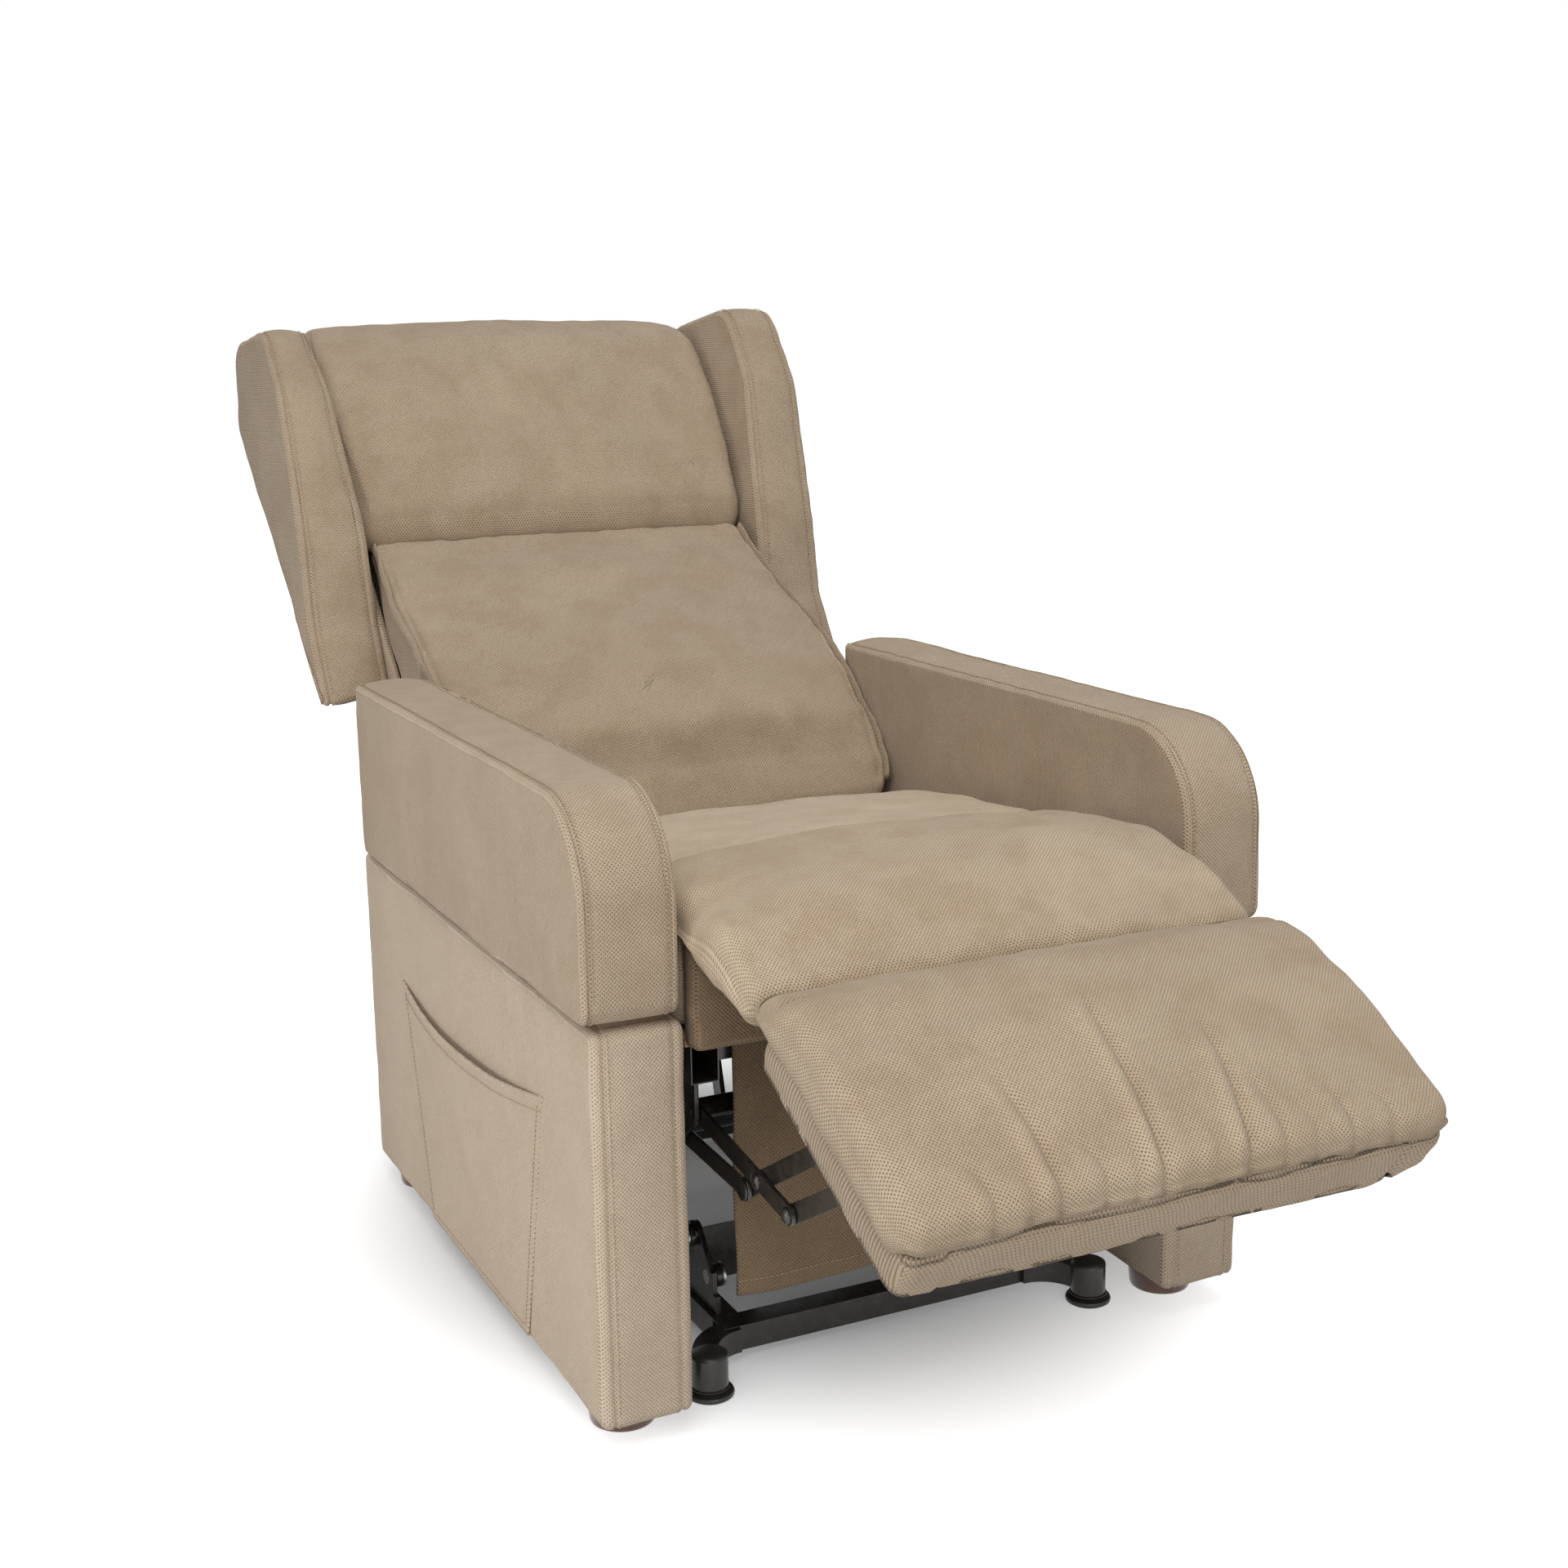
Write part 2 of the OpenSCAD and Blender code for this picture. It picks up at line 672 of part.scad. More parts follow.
// Curved arms that carry the bun feet, coped against the crossbars' ends
module base_outriggers() {
  reveal = 1;
  color(steel) place() both() difference() {
    union() {
      translate([arc_x, bun_front_y, base_bottom + reveal])
        linear_extrude(base_tube_height - 2 * reveal) outrigger_arc();
      translate([arc_x, bun_rear_y, base_bottom + reveal])
        linear_extrude(base_tube_height - 2 * reveal) mirror([0, 1]) outrigger_arc();
      for (y = [bun_front_y, bun_rear_y]) translate([bun_x, y, base_bottom])
        cylinder(r = post_radius, h = base_tube_height + 4);
    }
    for (y = [crossbar_y, rear_bar_start]) crossbar(y);
    for (y = [bun_front_y, bun_rear_y]) translate([bun_x, y, base_bottom - 1])
      cylinder(r = bun_stem, h = stem_depth + 1);
  }
}
// Pivot brackets on the base rails, with the plate between them
module base_brackets() {
  reach = 24;
  front = low_arm_y - reach;
  rear = high_arm_y + reach;
  plate_y = high_arm_y + reach + 2;
  plate_half = base_rail_inner + 6;
  slot_margin = 66;
  slot_half = plate_half - slot_margin;
  color(steel) place() {
    both() difference() {
      plate(bracket_plane, lift_thick) {
        bar(low_arm, high_arm, 30);
        translate([front, base_top]) square([rear - front, 20]);
        translate([front + 8, base_top]) square([rear - front - 16, 44]);
      }
      for (p = [low_arm, high_arm]) pin(p, bracket_plane - 1, bracket_plane + lift_thick + 1, lift_pin);
    }
    difference() {
      block(-plate_half, plate_half, plate_y, plate_y + 4, base_top, base_top + cross_plate_height);
      for (z = [base_top + 20, base_top + 42])
        block(-slot_half, slot_half, plate_y - 1, plate_y + 5, z - 4, z + 4);
    }
  }
}
// Turned bun feet under the outriggers, each with a ringed neck and a stem
module base_feet() {
  neck = 0.64 * bun_radius;
  ring = 0.8 * bun_radius;
  color(plastic) place() both() for (y = [bun_front_y, bun_rear_y]) translate([bun_x, y, 0])
    rotate_extrude() {
      square([bun_radius - 5, base_bottom]);
      translate([bun_radius - 5, 5]) circle(5);
      square([neck, base_bottom]);
      translate([0, 5]) square([bun_radius, 1.5]);
      square([bun_stem - 0.05, base_bottom + stem_depth - 1]);
      translate([0, base_bottom - 3.2]) square([ring, 3.2]);
    }
}
module base_pivot_pins() {
  color(bright) place() both() {
    pin(low_arm, inner_arm - lid, bracket_plane + lift_thick, lift_pin - weld_gap);
    pin(low_arm, inner_arm - lid - 1, inner_arm - 1, lift_head);
    pin(high_arm, bracket_plane, outer_arm + lift_thick + lid, lift_pin - weld_gap);
    pin(high_arm, outer_arm + lift_thick + 1, outer_arm + lift_thick + 1 + lid, lift_head);
  }
}

module lower_lift_arms() {
  color(steel) place() both() difference() {
    plate(inner_arm, lift_thick) bar(low_arm, low_seat, lift_width);
    pin(low_arm, inner_arm - 1, inner_arm + lift_thick + 1, lift_pin + running_gap);
    pin(low_seat, inner_arm - 1, inner_arm + lift_thick + 1, lift_pin + weld_gap);
  }
}
// Tube between the lower lift arms, with the lever that the lift rod pushes
module torque_tube() {
  color(steel) place() {
    pin(low_seat, -inner_arm, inner_arm, torque_radius);
    both() pin(low_seat, inner_arm - eps, bracket_plane + lift_thick + 1, lift_pin);
    slot_lever(low_seat, lift_lever_length, 90 - lift_half_swing, 0, lift_half_swing);
  }
}
// A lever with a slot along it: from a pivot, at an angle in y and z, centred on x
module slot_lever(p, long, angle, x, swing) {
  far = long / cos(swing) + 2;
  near = long - 2;
  half = cross_pin + slot_gap;
  difference() {
    plate(x - lever_thick / 2, lever_thick)
      translate(p) rotate(angle) union() {
        translate([0, -lever_width / 2]) square([far + 1, lever_width]);
        translate([far + 1, 0]) circle(lever_width / 2);
      }
    plate(x - lever_thick, 2 * lever_thick) translate(p) rotate(angle) union() {
      translate([near, -half]) square([far - near, 2 * half]);
      translate([near, 0]) circle(half);
      translate([far, 0]) circle(half);
    }
  }
}
module upper_lift_arm_right() {
  color(steel) place() difference() {
    plate(outer_arm, lift_thick) bar(high_arm, high_seat, lift_width);
    pin(high_arm, outer_arm - 1, outer_arm + lift_thick + 1, lift_pin + running_gap);
    pin(high_seat, outer_arm - 1, outer_arm + lift_thick + 1, open_pin + lift_open_gap);
  }
}
module upper_lift_arm_left() { left() upper_lift_arm_right(); }

// Steel frame under the seat, which carries the linkages and the back's pivots
module seat_rails() {
  tab = 5;
  color(steel) place() both() {
    tube(rail_inner, rail_outer, rail_start, rail_end, rail_bottom, rail_top, "y");
    for (y = [rail_start + 36, rail_end - 160])
      block(rail_outer - eps, panel_inner, y, y + 60, rail_bottom + tab, rail_top - tab);
  }
}
module seat_cross_tubes() {
  x = side_actuator_x;
  h = hanger_half;
  mid_end = middle_tube_start + rail_width;
  hanger_start = mid_end + hanger_long - 6;
  hanger_end = hanger_start + hanger_long;
  arm_low = rail_bottom + 4;
  color(steel) place() difference() {
    union() {
      for (y = tube_y) tube(-rail_inner, rail_inner, y, y + rail_width, rail_bottom, rail_top, "x");
      block(x - h, x + h, middle_tube_start, mid_end, drive_rod_z + housing_radius - 2, rail_bottom + eps);
      block(-x - h, -x + h, hanger_start, hanger_end, back_rod_z + housing_radius - 2, arm_low);
      block(-x - h, -x + h, mid_end - eps, hanger_end, arm_low - eps, arm_low + 8);
    }
    housing_bore(x, drive_rod_z, footrest_mouth, footrest_mouth + footrest_housing_length);
    housing_bore(-x, back_rod_z, back_mouth - back_housing_length, back_mouth);
  }
}
// Arm below the rear tube that holds the lift actuator's housing
module actuator_beam() {
  beam_thick = 8;
  beam_half = 28;
  post_half = 20;
  beam_z = lift_rod_z + housing_radius + beam_thick;
  beam_end = lift_mouth + lift_housing_length - hanger_long;
  color(steel) place() difference() {
    union() {
      block(-post_half, post_half, rear_tube_start, rear_tube_end, beam_z, rail_bottom);
      block(-beam_half, beam_half, rear_tube_start - post_half, beam_end, beam_z, beam_z + beam_thick);
      block(-hanger_half, hanger_half, beam_end - 3 * hanger_long, beam_end - hanger_long,
            lift_rod_z + housing_radius - 2, beam_z + eps);
    }
    housing_bore(0, lift_rod_z, lift_mouth, lift_mouth + lift_housing_length);
  }
}
// Side plates that carry the footrest linkage's fixed pivots
module link_plates() {
  wide = 34;
  reach = 43;
  color(steel) place() both() difference() {
    union() {
      plate(link_plate, plate_thick) {
        bar(main_point, lower_point, wide);
        bar([main_y + reach - wide / 2, main_z + 4], lower_point, wide - 4);
        translate([main_y - wide / 2 + 1, main_z]) square([wide / 2 + reach - 1, rail_bottom - main_z]);
      }
      block(link_plate, rail_outer, main_y - wide / 2, main_y + reach, rail_bottom - 4, rail_bottom);
    }
    pin(main_point, link_plate - 1, link_plate + plate_thick + 1, stub_radius + running_gap);
    pin(lower_point, link_plate - 1, link_plate + plate_thick + 1, rivet_radius);
  }
}
module back_pivot_plates() {
  color(steel) place() both() difference() {
    plate(back_plate_x, plate_thick) {
      translate([rail_end - 90, rail_bottom]) square([90, rail_height]);
      bar([rail_end - 30, rail_top - 20], back_pivot, 30);
    }
    pin(back_pivot, back_plate_x - 1, back_plate_x + plate_thick + 1, lift_pin);
  }
}
// Brackets under the rear tube that the lift arms push up
module lift_brackets() {
  wide = 34;
  color(steel) place() both() difference() {
    plate(bracket_plane, lift_thick) {
      bar(low_seat, high_seat, wide);
      polygon([[low_seat_y - wide / 2 + 2, low_seat_z + 3], [high_seat_y + wide / 2 - 2, high_seat_z + 3],
               [rear_tube_end, rail_bottom], [rear_tube_start - 20, rail_bottom]]);
    }
    pin(low_seat, bracket_plane - 1, bracket_plane + lift_thick + 1, lift_pin + running_gap);
    pin(high_seat, bracket_plane - 1, bracket_plane + lift_thick + 1, open_pin);
  }
}
module housing_bore(x, z, y0, y1) {
  translate([x, y0, z]) rotate([-90, 0, 0]) cylinder(r = housing_radius, h = y1 - y0);
}
module seat_pivot_pins() {
  color(bright) place() both() {
    pin(lower_point, outer_link - 2, link_plate + plate_thick, rivet_radius - weld_gap);
    pin(lower_point, outer_link - 2 - rivet_lid, outer_link - 0.5, rivet_head);
    pin(high_seat, bracket_plane, outer_arm + lift_thick + lid, open_pin - weld_gap);
    pin(high_seat, outer_arm + lift_thick + 1, outer_arm + lift_thick + 1 + lid, lift_head);
    pin(back_pivot, back_bracket_x, back_plate_x + plate_thick, lift_pin - weld_gap);
    pin(back_pivot, back_plate_x + plate_thick, back_plate_x + plate_thick + lid, lift_head);
  }
}

// Flat wooden bars on the steel rails; the rear bar is let in with a hairline joint
module seat_deck() {
  bar_width = 26;
  joint = 0.3;
  color(timber) place() {
    both() block(deck_half_width - bar_width, deck_half_width, fascia_thick, deck_length,
                 deck_bottom, deck_top);
    block(-deck_half_width + bar_width + joint, deck_half_width - bar_width - joint,
          deck_length - bar_width, deck_length, deck_bottom, deck_top);
  }
}
module seat_fascia() {
  color(fabric_dark) place()
    block(-deck_half_width, deck_half_width, 0, fascia_thick, deck_bottom, fascia_top);
}
module seat_webbing() {
  pitch = (deck_length - fascia_thick - strap_width - 10) / (strap_count - 1);
  color(steel) place() for (k = [0 : strap_count - 1])
    translate([-deck_half_width + 6, fascia_thick + 5 + k * pitch, deck_top])
      cube([2 * deck_half_width - 12, strap_width, strap_thick]);
}

module seat_cushion() {
  n = 16;
  rows = [for (k = [0 : n]) let (s = spread(k, n),
      y = blend(cushion_front_y, cushion_rear_y, s),
      f = end_round(s, 10, 0.5),
      tall = blend(cushion_front_height, cushion_rear_height, ease((y - 60) / 480)),
      c = cushion_crown * ease((y - bridge_rear_y) / 120) * ease((cushion_rear_y - y) / 90))
    [y, cushion_bottom + tall / 2, 90, cushion_half_width * (0.955 + 0.045 * f),
     f * tall / 2, f * tall / 2, c]];
  color(fabric) place() soft(rows);
}

// Bridge pad from the seat's front edge down to the footrest pillow
module leg_bridge() {
  n = 20;
  under = fascia_top + soft_gap;
  rows = [for (k = [0 : n]) let (s = spread(k, n),
      y = blend(bridge_rear_y, -bridge_reach, s),
      f = end_round(s, 8, 0.42),
      g = ease((-6 - y) / (bridge_reach - 6)),
      rear = ease((bridge_rear_y - y) / 150),
      thick = blend(20, bridge_thick, rear) * blend(1, 0.55, g),
      low = under - bridge_drop * pow(g, 1.25) + 1.5 * (1 - rear),
      tilt = 90 + 14 * sin(180 * g))
    [y, low + thick / 2, tilt, bridge_half_width * (0.96 + 0.04 * f), f * thick / 2, f * thick / 2,
     9 * f * rear]];
  color(fabric) place() soft(rows);
}

module front_flap() {
  n = 24;
  w = flap_half_width;
  top_z = rail_bottom + 30;
  steps = [for (k = [0 : n]) k / n];
  front = [for (s = steps) [blend(-w, w, s), flap_y + flap_fold * sin(540 * s)]];
  rear = [for (k = [0 : n]) let (s = 1 - k / n)
    [blend(-w, w, s), flap_y + flap_fold * sin(540 * s) + flap_thick]];
  color(fabric_dark) place() {
    translate([0, 0, flap_bottom]) linear_extrude(top_z - flap_bottom) polygon(concat(front, rear));
    block(-w, w, flap_y - flap_fold, front_tube_start, top_z - eps, rail_top);
  }
}
module control_box() {
  box_outer = bracket_plane - 13;
  box_width = 75;
  box_height = 46;
  color(plastic) place()
    block(box_outer - box_width, box_outer, rear_tube_start - 70, rear_tube_end,
          rail_bottom - box_height, rail_bottom);
}

// Main links of the footrest scissors, turned by the drive tube between them
module main_link_right() {
  color(steel) place() difference() {
    plate(outer_link, link_thick) bar(main_point, front_point, link_width);
    pin(main_point, outer_link - 1, outer_link + link_thick + 1, stub_radius + weld_gap);
    for (p = [cross_point, front_point]) pin(p, outer_link - 1, outer_link + link_thick + 1, rivet_radius);
  }
}
module main_link_left() { left() main_link_right(); }
module drive_tube() {
  color(steel) place() {
    pin(main_point, -outer_link, outer_link, drive_tube_radius);
    both() pin(main_point, outer_link - eps, link_plate + plate_thick + 1, stub_radius);
    slot_lever(main_point, drive_lever_length, -90 - drive_half_swing, side_actuator_x, drive_half_swing);
  }
}
module rivet(p, x0, x1) {
  pin(p, x0 - rivet_lid, x1 + rivet_lid, rivet_radius - weld_gap);
  pin(p, x0 - rivet_lid - 0.4, x0 - 0.4, rivet_head);
  pin(p, x1, x1 + rivet_lid, rivet_head);
}
module link_rivets() {
  color(bright) place() both() {
    rivet(cross_point, inner_link, outer_link + link_thick);
    rivet(front_point, inner_link, outer_link + link_thick);
  }
}
module cross_link_right() {
  color(steel) place() {
    difference() {
      plate(inner_link, link_thick) union() {
        bar(stud_point, cross_point, link_width);
        bar(cross_point, rear_point, link_width);
      }
      pin(cross_point, inner_link - 1, inner_link + link_thick + 1, rivet_radius + running_gap);
      pin(rear_point, inner_link - 1, inner_link + link_thick + 1, rivet_radius + running_gap);
    }
    pin(stud_point, inner_link, outer_link + link_thick + 0.5 + rivet_lid, rivet_radius);
    pin(stud_point, outer_link + link_thick + 0.5, outer_link + link_thick + 0.5 + rivet_lid, stud_lid);
  }
}
module cross_link_left() { left() cross_link_right(); }
module lower_link_right() {
  eye = rivet_radius + open_gap + 4.4;
  color(steel) place() difference() {
    plate(outer_link, link_thick) union() {
      bar(lower_point, stud_point, link_width);
      disc(stud_point, eye);
    }
    pin(lower_point, outer_link - 1, outer_link + link_thick + 1, rivet_radius + running_gap);
    pin(stud_point, outer_link - 1, outer_link + link_thick + 1, rivet_radius + open_gap);
  }
}
module lower_link_left() { left() lower_link_right(); }
module strut_link_right() {
  color(steel) place() difference() {
    plate(inner_link, link_thick) bar(front_point, strut_point, link_width);
    pin(front_point, inner_link - 1, inner_link + link_thick + 1, rivet_radius + running_gap);
    pin(strut_point, inner_link - 1, inner_link + link_thick + 1, rivet_radius + strut_gap);
  }
}
module strut_link_left() { left() strut_link_right(); }

// Puts the footrest's own axes, along the board and above it, into y and z
module on_board() {
  translate([0, -board_rear, board_rear_height]) rotate([board_slope, 0, 0]) mirror([0, 1, 0]) children();
}
module footrest_board() {
  color(fabric_dark) place() on_board()
    block(-board_half_width, board_half_width, 0, board_length, -board_thick, 0);
}
function along_board(s, t) =
  [-board_rear - s * cos(board_slope) - t * sin(board_slope),
   board_rear_height - s * sin(board_slope) + t * cos(board_slope)];
module footrest_brackets() {
  flange_start = 20;
  flange_end = 150;
  foot_a = along_board(flange_start, -board_thick);
  foot_b = along_board(flange_end, -board_thick);
  color(steel) place() both() difference() {
    plate(outer_link, bracket_plate) union() {
      bar(rear_point, strut_point, 24);
      polygon([foot_a, foot_b, strut_point, rear_point]);
    }
    pin(rear_point, outer_link - 1, outer_link + bracket_plate + 1, rivet_radius);
    pin(strut_point, outer_link - 1, outer_link + bracket_plate + 1, rivet_radius);
  }
}
module footrest_rivets() {
  color(bright) place() both() {
    rivet(rear_point, inner_link, outer_link + bracket_plate);
    rivet(strut_point, inner_link, outer_link + bracket_plate);
  }
}
module footrest_pillow() {
  n = 20;
  start = -22;
  stop = board_length - 4;
  rows = [for (k = [0 : n]) let (s = spread(k, n),
      d = blend(start, stop, s),
      f = end_round(s, 5, 0.5),
      low = soft_gap + 3 * ease(-d / 22),
      thick = pillow_edge * blend(0.7, 1, ease(s * 2.5)) * blend(1, 0.8, ease((s - 0.75) * 4)),
      c = along_board(d, low + thick / 2))
    [c[0], c[1], 90 + board_slope, (board_half_width + 2) * (0.965 + 0.035 * f), f * thick / 2, f * thick / 2,
     pillow_crown * f]];
  color(fabric) place() soft(rows);
}

// The three linear actuators under the seat: a housing with a motor, and a rod
module housing(x, z, front, long) {
  drop = housing_radius + 12;
  translate([x, front, z]) rotate([-90, 0, 0]) difference() {
    union() {
      cylinder(r = housing_radius, h = long);
      translate([0, drop, long - motor_length]) cylinder(r = housing_radius - 3, h = motor_length);
      translate([0, drop / 2, long - 16]) cube([2 * housing_radius - 10, drop + 2, 30], center = true);
    }
    translate([0, 0, -1]) cylinder(r = rod_radius + running_gap, h = long - 20);
  }
}
module footrest_actuator() {
  color(plastic) place() housing(side_actuator_x, drive_rod_z, footrest_mouth, footrest_housing_length);
}
module footrest_rod() {
  color(bright) place() rod(side_actuator_x, drive_rod_y, drive_rod_z, footrest_mouth + rod_depth, 1);
}
// A rod along y that ends in a fork with a cross pin. dir is 1 where its housing lies behind
module rod(x, y, z, tail, dir) {
  root_y = y + dir * fork_reach;
  web_y = y + dir * (fork_reach - fork_web);
  cheek_y = y - dir * fork_half;
  low_z = z - fork_half;
  high_z = z + fork_half;
  translate([x, min(root_y - dir, tail), z]) rotate([-90, 0, 0])
    cylinder(r = rod_radius, h = abs(tail - root_y + dir));
  block(x - fork_outer, x + fork_outer, min(root_y, web_y), max(root_y, web_y), low_z, high_z);
  for (side = [-1, 1])
    block(min(side * fork_inner, side * fork_outer) + x, max(side * fork_inner, side * fork_outer) + x,
          min(web_y + dir, cheek_y), max(web_y + dir, cheek_y), low_z, high_z);
  translate([x - fork_outer - 2, y, z]) rotate([0, 90, 0]) cylinder(r = cross_pin, h = 2 * fork_outer + 4);
}
module back_actuator() {
  color(plastic) place() mirror([0, 1, 0]) housing(-side_actuator_x, back_rod_z, -back_mouth, back_housing_length);
}
module back_rod() {
  color(bright) place() rod(-side_actuator_x, back_rod_y, back_rod_z, back_mouth - rod_depth, -1);
}
module lift_actuator() {
  color(plastic) place() housing(0, lift_rod_z, lift_mouth, lift_housing_length);
}
module lift_rod() {
  color(bright) place() rod(0, lift_rod_y, lift_rod_z, lift_mouth + rod_depth, 1);
}

// Ladder frame inside the back, with the lever that the back rod pushes
module back_side_tubes() {
  color(steel) place() both()
    on_back() tube(frame_half - frame_tube, frame_half, -frame_front, -frame_rear,
                   frame_start, frame_end, "z");
}
module back_cross_tubes() {
  t = frame_tube;
  d0 = frame_start;
  long = frame_end - frame_start;
  x = side_actuator_x;
  color(steel) place() {
    for (d = [d0, d0 + 0.34 * long, d0 + 0.67 * long, frame_end - t])
      on_back() tube(t - frame_half, frame_half - t, -frame_front, -frame_rear, d, d + t, "x");
    slot_lever(back_pivot, back_lever_length, -90 - back_mid, -x, back_half_swing);
    back_block(-x - lever_thick / 2, -x + lever_thick / 2, frame_rear, lever_width / 2, -10, d0 + eps);
    back_block(-x - lever_width / 2, -x + lever_width / 2, frame_rear, frame_front, d0 - 6, d0 + eps);
  }
}
// Upholstered tray of the back: rear panel, side boards and top board behind the pads
module back_panel() {
  n0 = -shell_rear;
  color(fabric_dark) place() {
    back_block(-shell_low_half, shell_low_half, n0, n0 + shell_wall, shell_start, shell_step + eps);
    back_block(-shell_high_half, shell_high_half, n0, n0 + shell_wall, shell_step, shell_end);
  }
}
module back_boards() {
  w = shell_wall;
  a = shell_low_half;
  b = shell_high_half;
  n0 = -shell_rear + w;
  n1 = -shell_front;
  joint = 0.3;
  color(fabric_dark) place() {
    both() {
      back_block(a - w, a, n0, n1, shell_start, shell_step + w);
      back_block(a - w, b, n0, n1, shell_step, shell_step + w);
      back_block(b - w, b, n0, n1, shell_step, shell_end);
    }
    back_block(-b + w + joint, b - w - joint, n0, n1, shell_end - w, shell_end);
  }
}
module back_brackets() {
  wide = 28;
  depth = -(shell_front + shell_rear) / 2;
  bracket_bend = 60;
  bracket_end = 150;
  low = back_point(bracket_bend, depth);
  high = back_point(bracket_end, depth);
  color(steel) place() both() difference() {
    plate(back_bracket_x, plate_thick) {
      bar(back_pivot, low, wide);
      bar(low, high, wide);
    }
    pin(back_pivot, back_bracket_x - 1, back_bracket_x + plate_thick + 1, lift_pin + running_gap);
  }
}

module lumbar_pad() {
  n = 20;
  start = -16;
  stop = back_seam - 1;
  rows = [for (k = [0 : n]) let (s = spread(k, n),
      d = blend(start, stop, s),
      f = end_round(s, 9, 0.45),
      face = blend(lumbar_reach, 4, ease((d - 120) / (stop - 60))),
      rear = blend(-shell_front + soft_gap, 24, 1 - ease((d - 8) / 60)),
      c = back_point(d, (face + rear) / 2),
      half = (face - rear) / 2,
      full = blend(blend(lumbar_foot_half, lumbar_half_width, ease((d - 20) / 110)),
                   lumbar_top_half, ease((d - 200) / 300)),
      crown = lumbar_crown * ease((d - 70) / 130) * ease((stop - d) / 160))
    [c[0], c[1], 180 - back_lean, full * (0.96 + 0.04 * f), f * half, f * half, crown]];
  color(fabric) place() soft(rows);
}
module head_pillow() {
  n = 20;
  start = back_seam + 1;
  rows = [for (k = [0 : n]) let (s = spread(k, n),
      d = blend(start, pillow_end, s),
      f = end_round(s, 6, 0.5),
      face = blend(26, pillow_reach, ease((d - start) / 210)) * blend(1, 0.8, ease((d - 800) / 120)),
      rear = -shell_front + soft_gap,
      c = back_point(d, (face + rear) / 2),
      half = (face - rear) / 2,
      crown = head_crown * f)
    [c[0], c[1], 180 - back_lean, head_half_width * (0.95 + 0.05 * f), f * half, f * half, crown]];
  color(fabric) place() soft(rows);
}

// Wing outline in the back's axes: along the back, before the pivot, splay share
module wing_right() {
  r = wing_round;
  inner = shell_high_half;
  low_n = -wing_depth + 26;
  corners = [
    [wing_tip + r, low_n + r, 0],
    [wing_rear_top - r, -wing_depth + r, 0],
    [wing_high - r - 4, -10, 0],
    [wing_rear_top - 66 + r * 0.2, wing_reach - r - 4, 1],
    [wing_rear_top - 186, 0.78 * wing_reach - r, 0.9],
    [wing_rear_top - 330, 0.34 * wing_reach - r, 0.5],
    [wing_tip + 76, -28 - r, 0.1]];
  color(fabric) place() on_back() hull() for (c = corners)
    translate([inner + c[2] * wing_splay, -c[1], c[0]]) rotate([0, 90, 0])
      cylinder(r = r, h = wing_half_width - inner - c[2] * wing_splay, $fn = 24);
}
module wing_left() { left() wing_right(); }

base_rails();
base_crossbars();
base_outriggers();
base_brackets();
base_feet();
base_pivot_pins();
lower_lift_arms();
torque_tube();
upper_lift_arm_left();
upper_lift_arm_right();
lift_rod();
seat_rails();
seat_cross_tubes();
actuator_beam();
link_plates();
back_pivot_plates();
lift_brackets();
seat_pivot_pins();
seat_deck();
seat_fascia();
seat_webbing();
seat_cushion();
leg_bridge();
side_panel_left();
side_panel_right();
arm_pad_left();
arm_pad_right();
side_pocket();
wooden_feet();
front_flap();
control_box();
footrest_actuator();
back_actuator();
lift_actuator();
drive_tube();
main_link_left();
main_link_right();
link_rivets();
cross_link_left();
cross_link_right();
lower_link_left();
lower_link_right();
strut_link_left();
strut_link_right();
footrest_board();
footrest_brackets();
footrest_rivets();
footrest_pillow();
footrest_rod();
back_side_tubes();
back_cross_tubes();
back_panel();
back_boards();
back_brackets();
lumbar_pad();
head_pillow();
wing_left();
wing_right();
back_rod();
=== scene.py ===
import json
import math
from contextlib import contextmanager

import bpy
import bmesh
import numpy as np
from mathutils import Matrix, Vector
from mathutils.bvhtree import BVHTree
from mathutils.kdtree import KDTree


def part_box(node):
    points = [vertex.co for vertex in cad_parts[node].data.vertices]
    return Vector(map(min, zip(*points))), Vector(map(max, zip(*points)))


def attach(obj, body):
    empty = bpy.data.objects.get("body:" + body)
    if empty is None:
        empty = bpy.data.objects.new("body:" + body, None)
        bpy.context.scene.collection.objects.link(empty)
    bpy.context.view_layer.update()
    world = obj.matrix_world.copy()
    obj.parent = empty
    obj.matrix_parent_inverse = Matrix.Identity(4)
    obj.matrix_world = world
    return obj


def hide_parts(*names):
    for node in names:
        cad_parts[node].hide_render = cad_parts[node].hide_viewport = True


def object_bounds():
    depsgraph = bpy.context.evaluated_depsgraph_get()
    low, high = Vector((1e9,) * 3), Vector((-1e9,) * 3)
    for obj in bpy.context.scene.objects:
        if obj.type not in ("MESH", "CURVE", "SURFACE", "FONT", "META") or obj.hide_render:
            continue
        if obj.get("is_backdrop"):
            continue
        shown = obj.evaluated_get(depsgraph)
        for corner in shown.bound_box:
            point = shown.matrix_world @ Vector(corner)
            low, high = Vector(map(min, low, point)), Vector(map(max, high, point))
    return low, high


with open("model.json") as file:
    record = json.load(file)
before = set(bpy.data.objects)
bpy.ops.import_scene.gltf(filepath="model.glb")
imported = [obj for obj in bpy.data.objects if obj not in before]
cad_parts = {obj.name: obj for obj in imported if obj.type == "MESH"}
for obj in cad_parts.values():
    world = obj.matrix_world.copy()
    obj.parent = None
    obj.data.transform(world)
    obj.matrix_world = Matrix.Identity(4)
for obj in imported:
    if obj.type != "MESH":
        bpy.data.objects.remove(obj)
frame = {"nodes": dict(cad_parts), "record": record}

CAD_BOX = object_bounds()
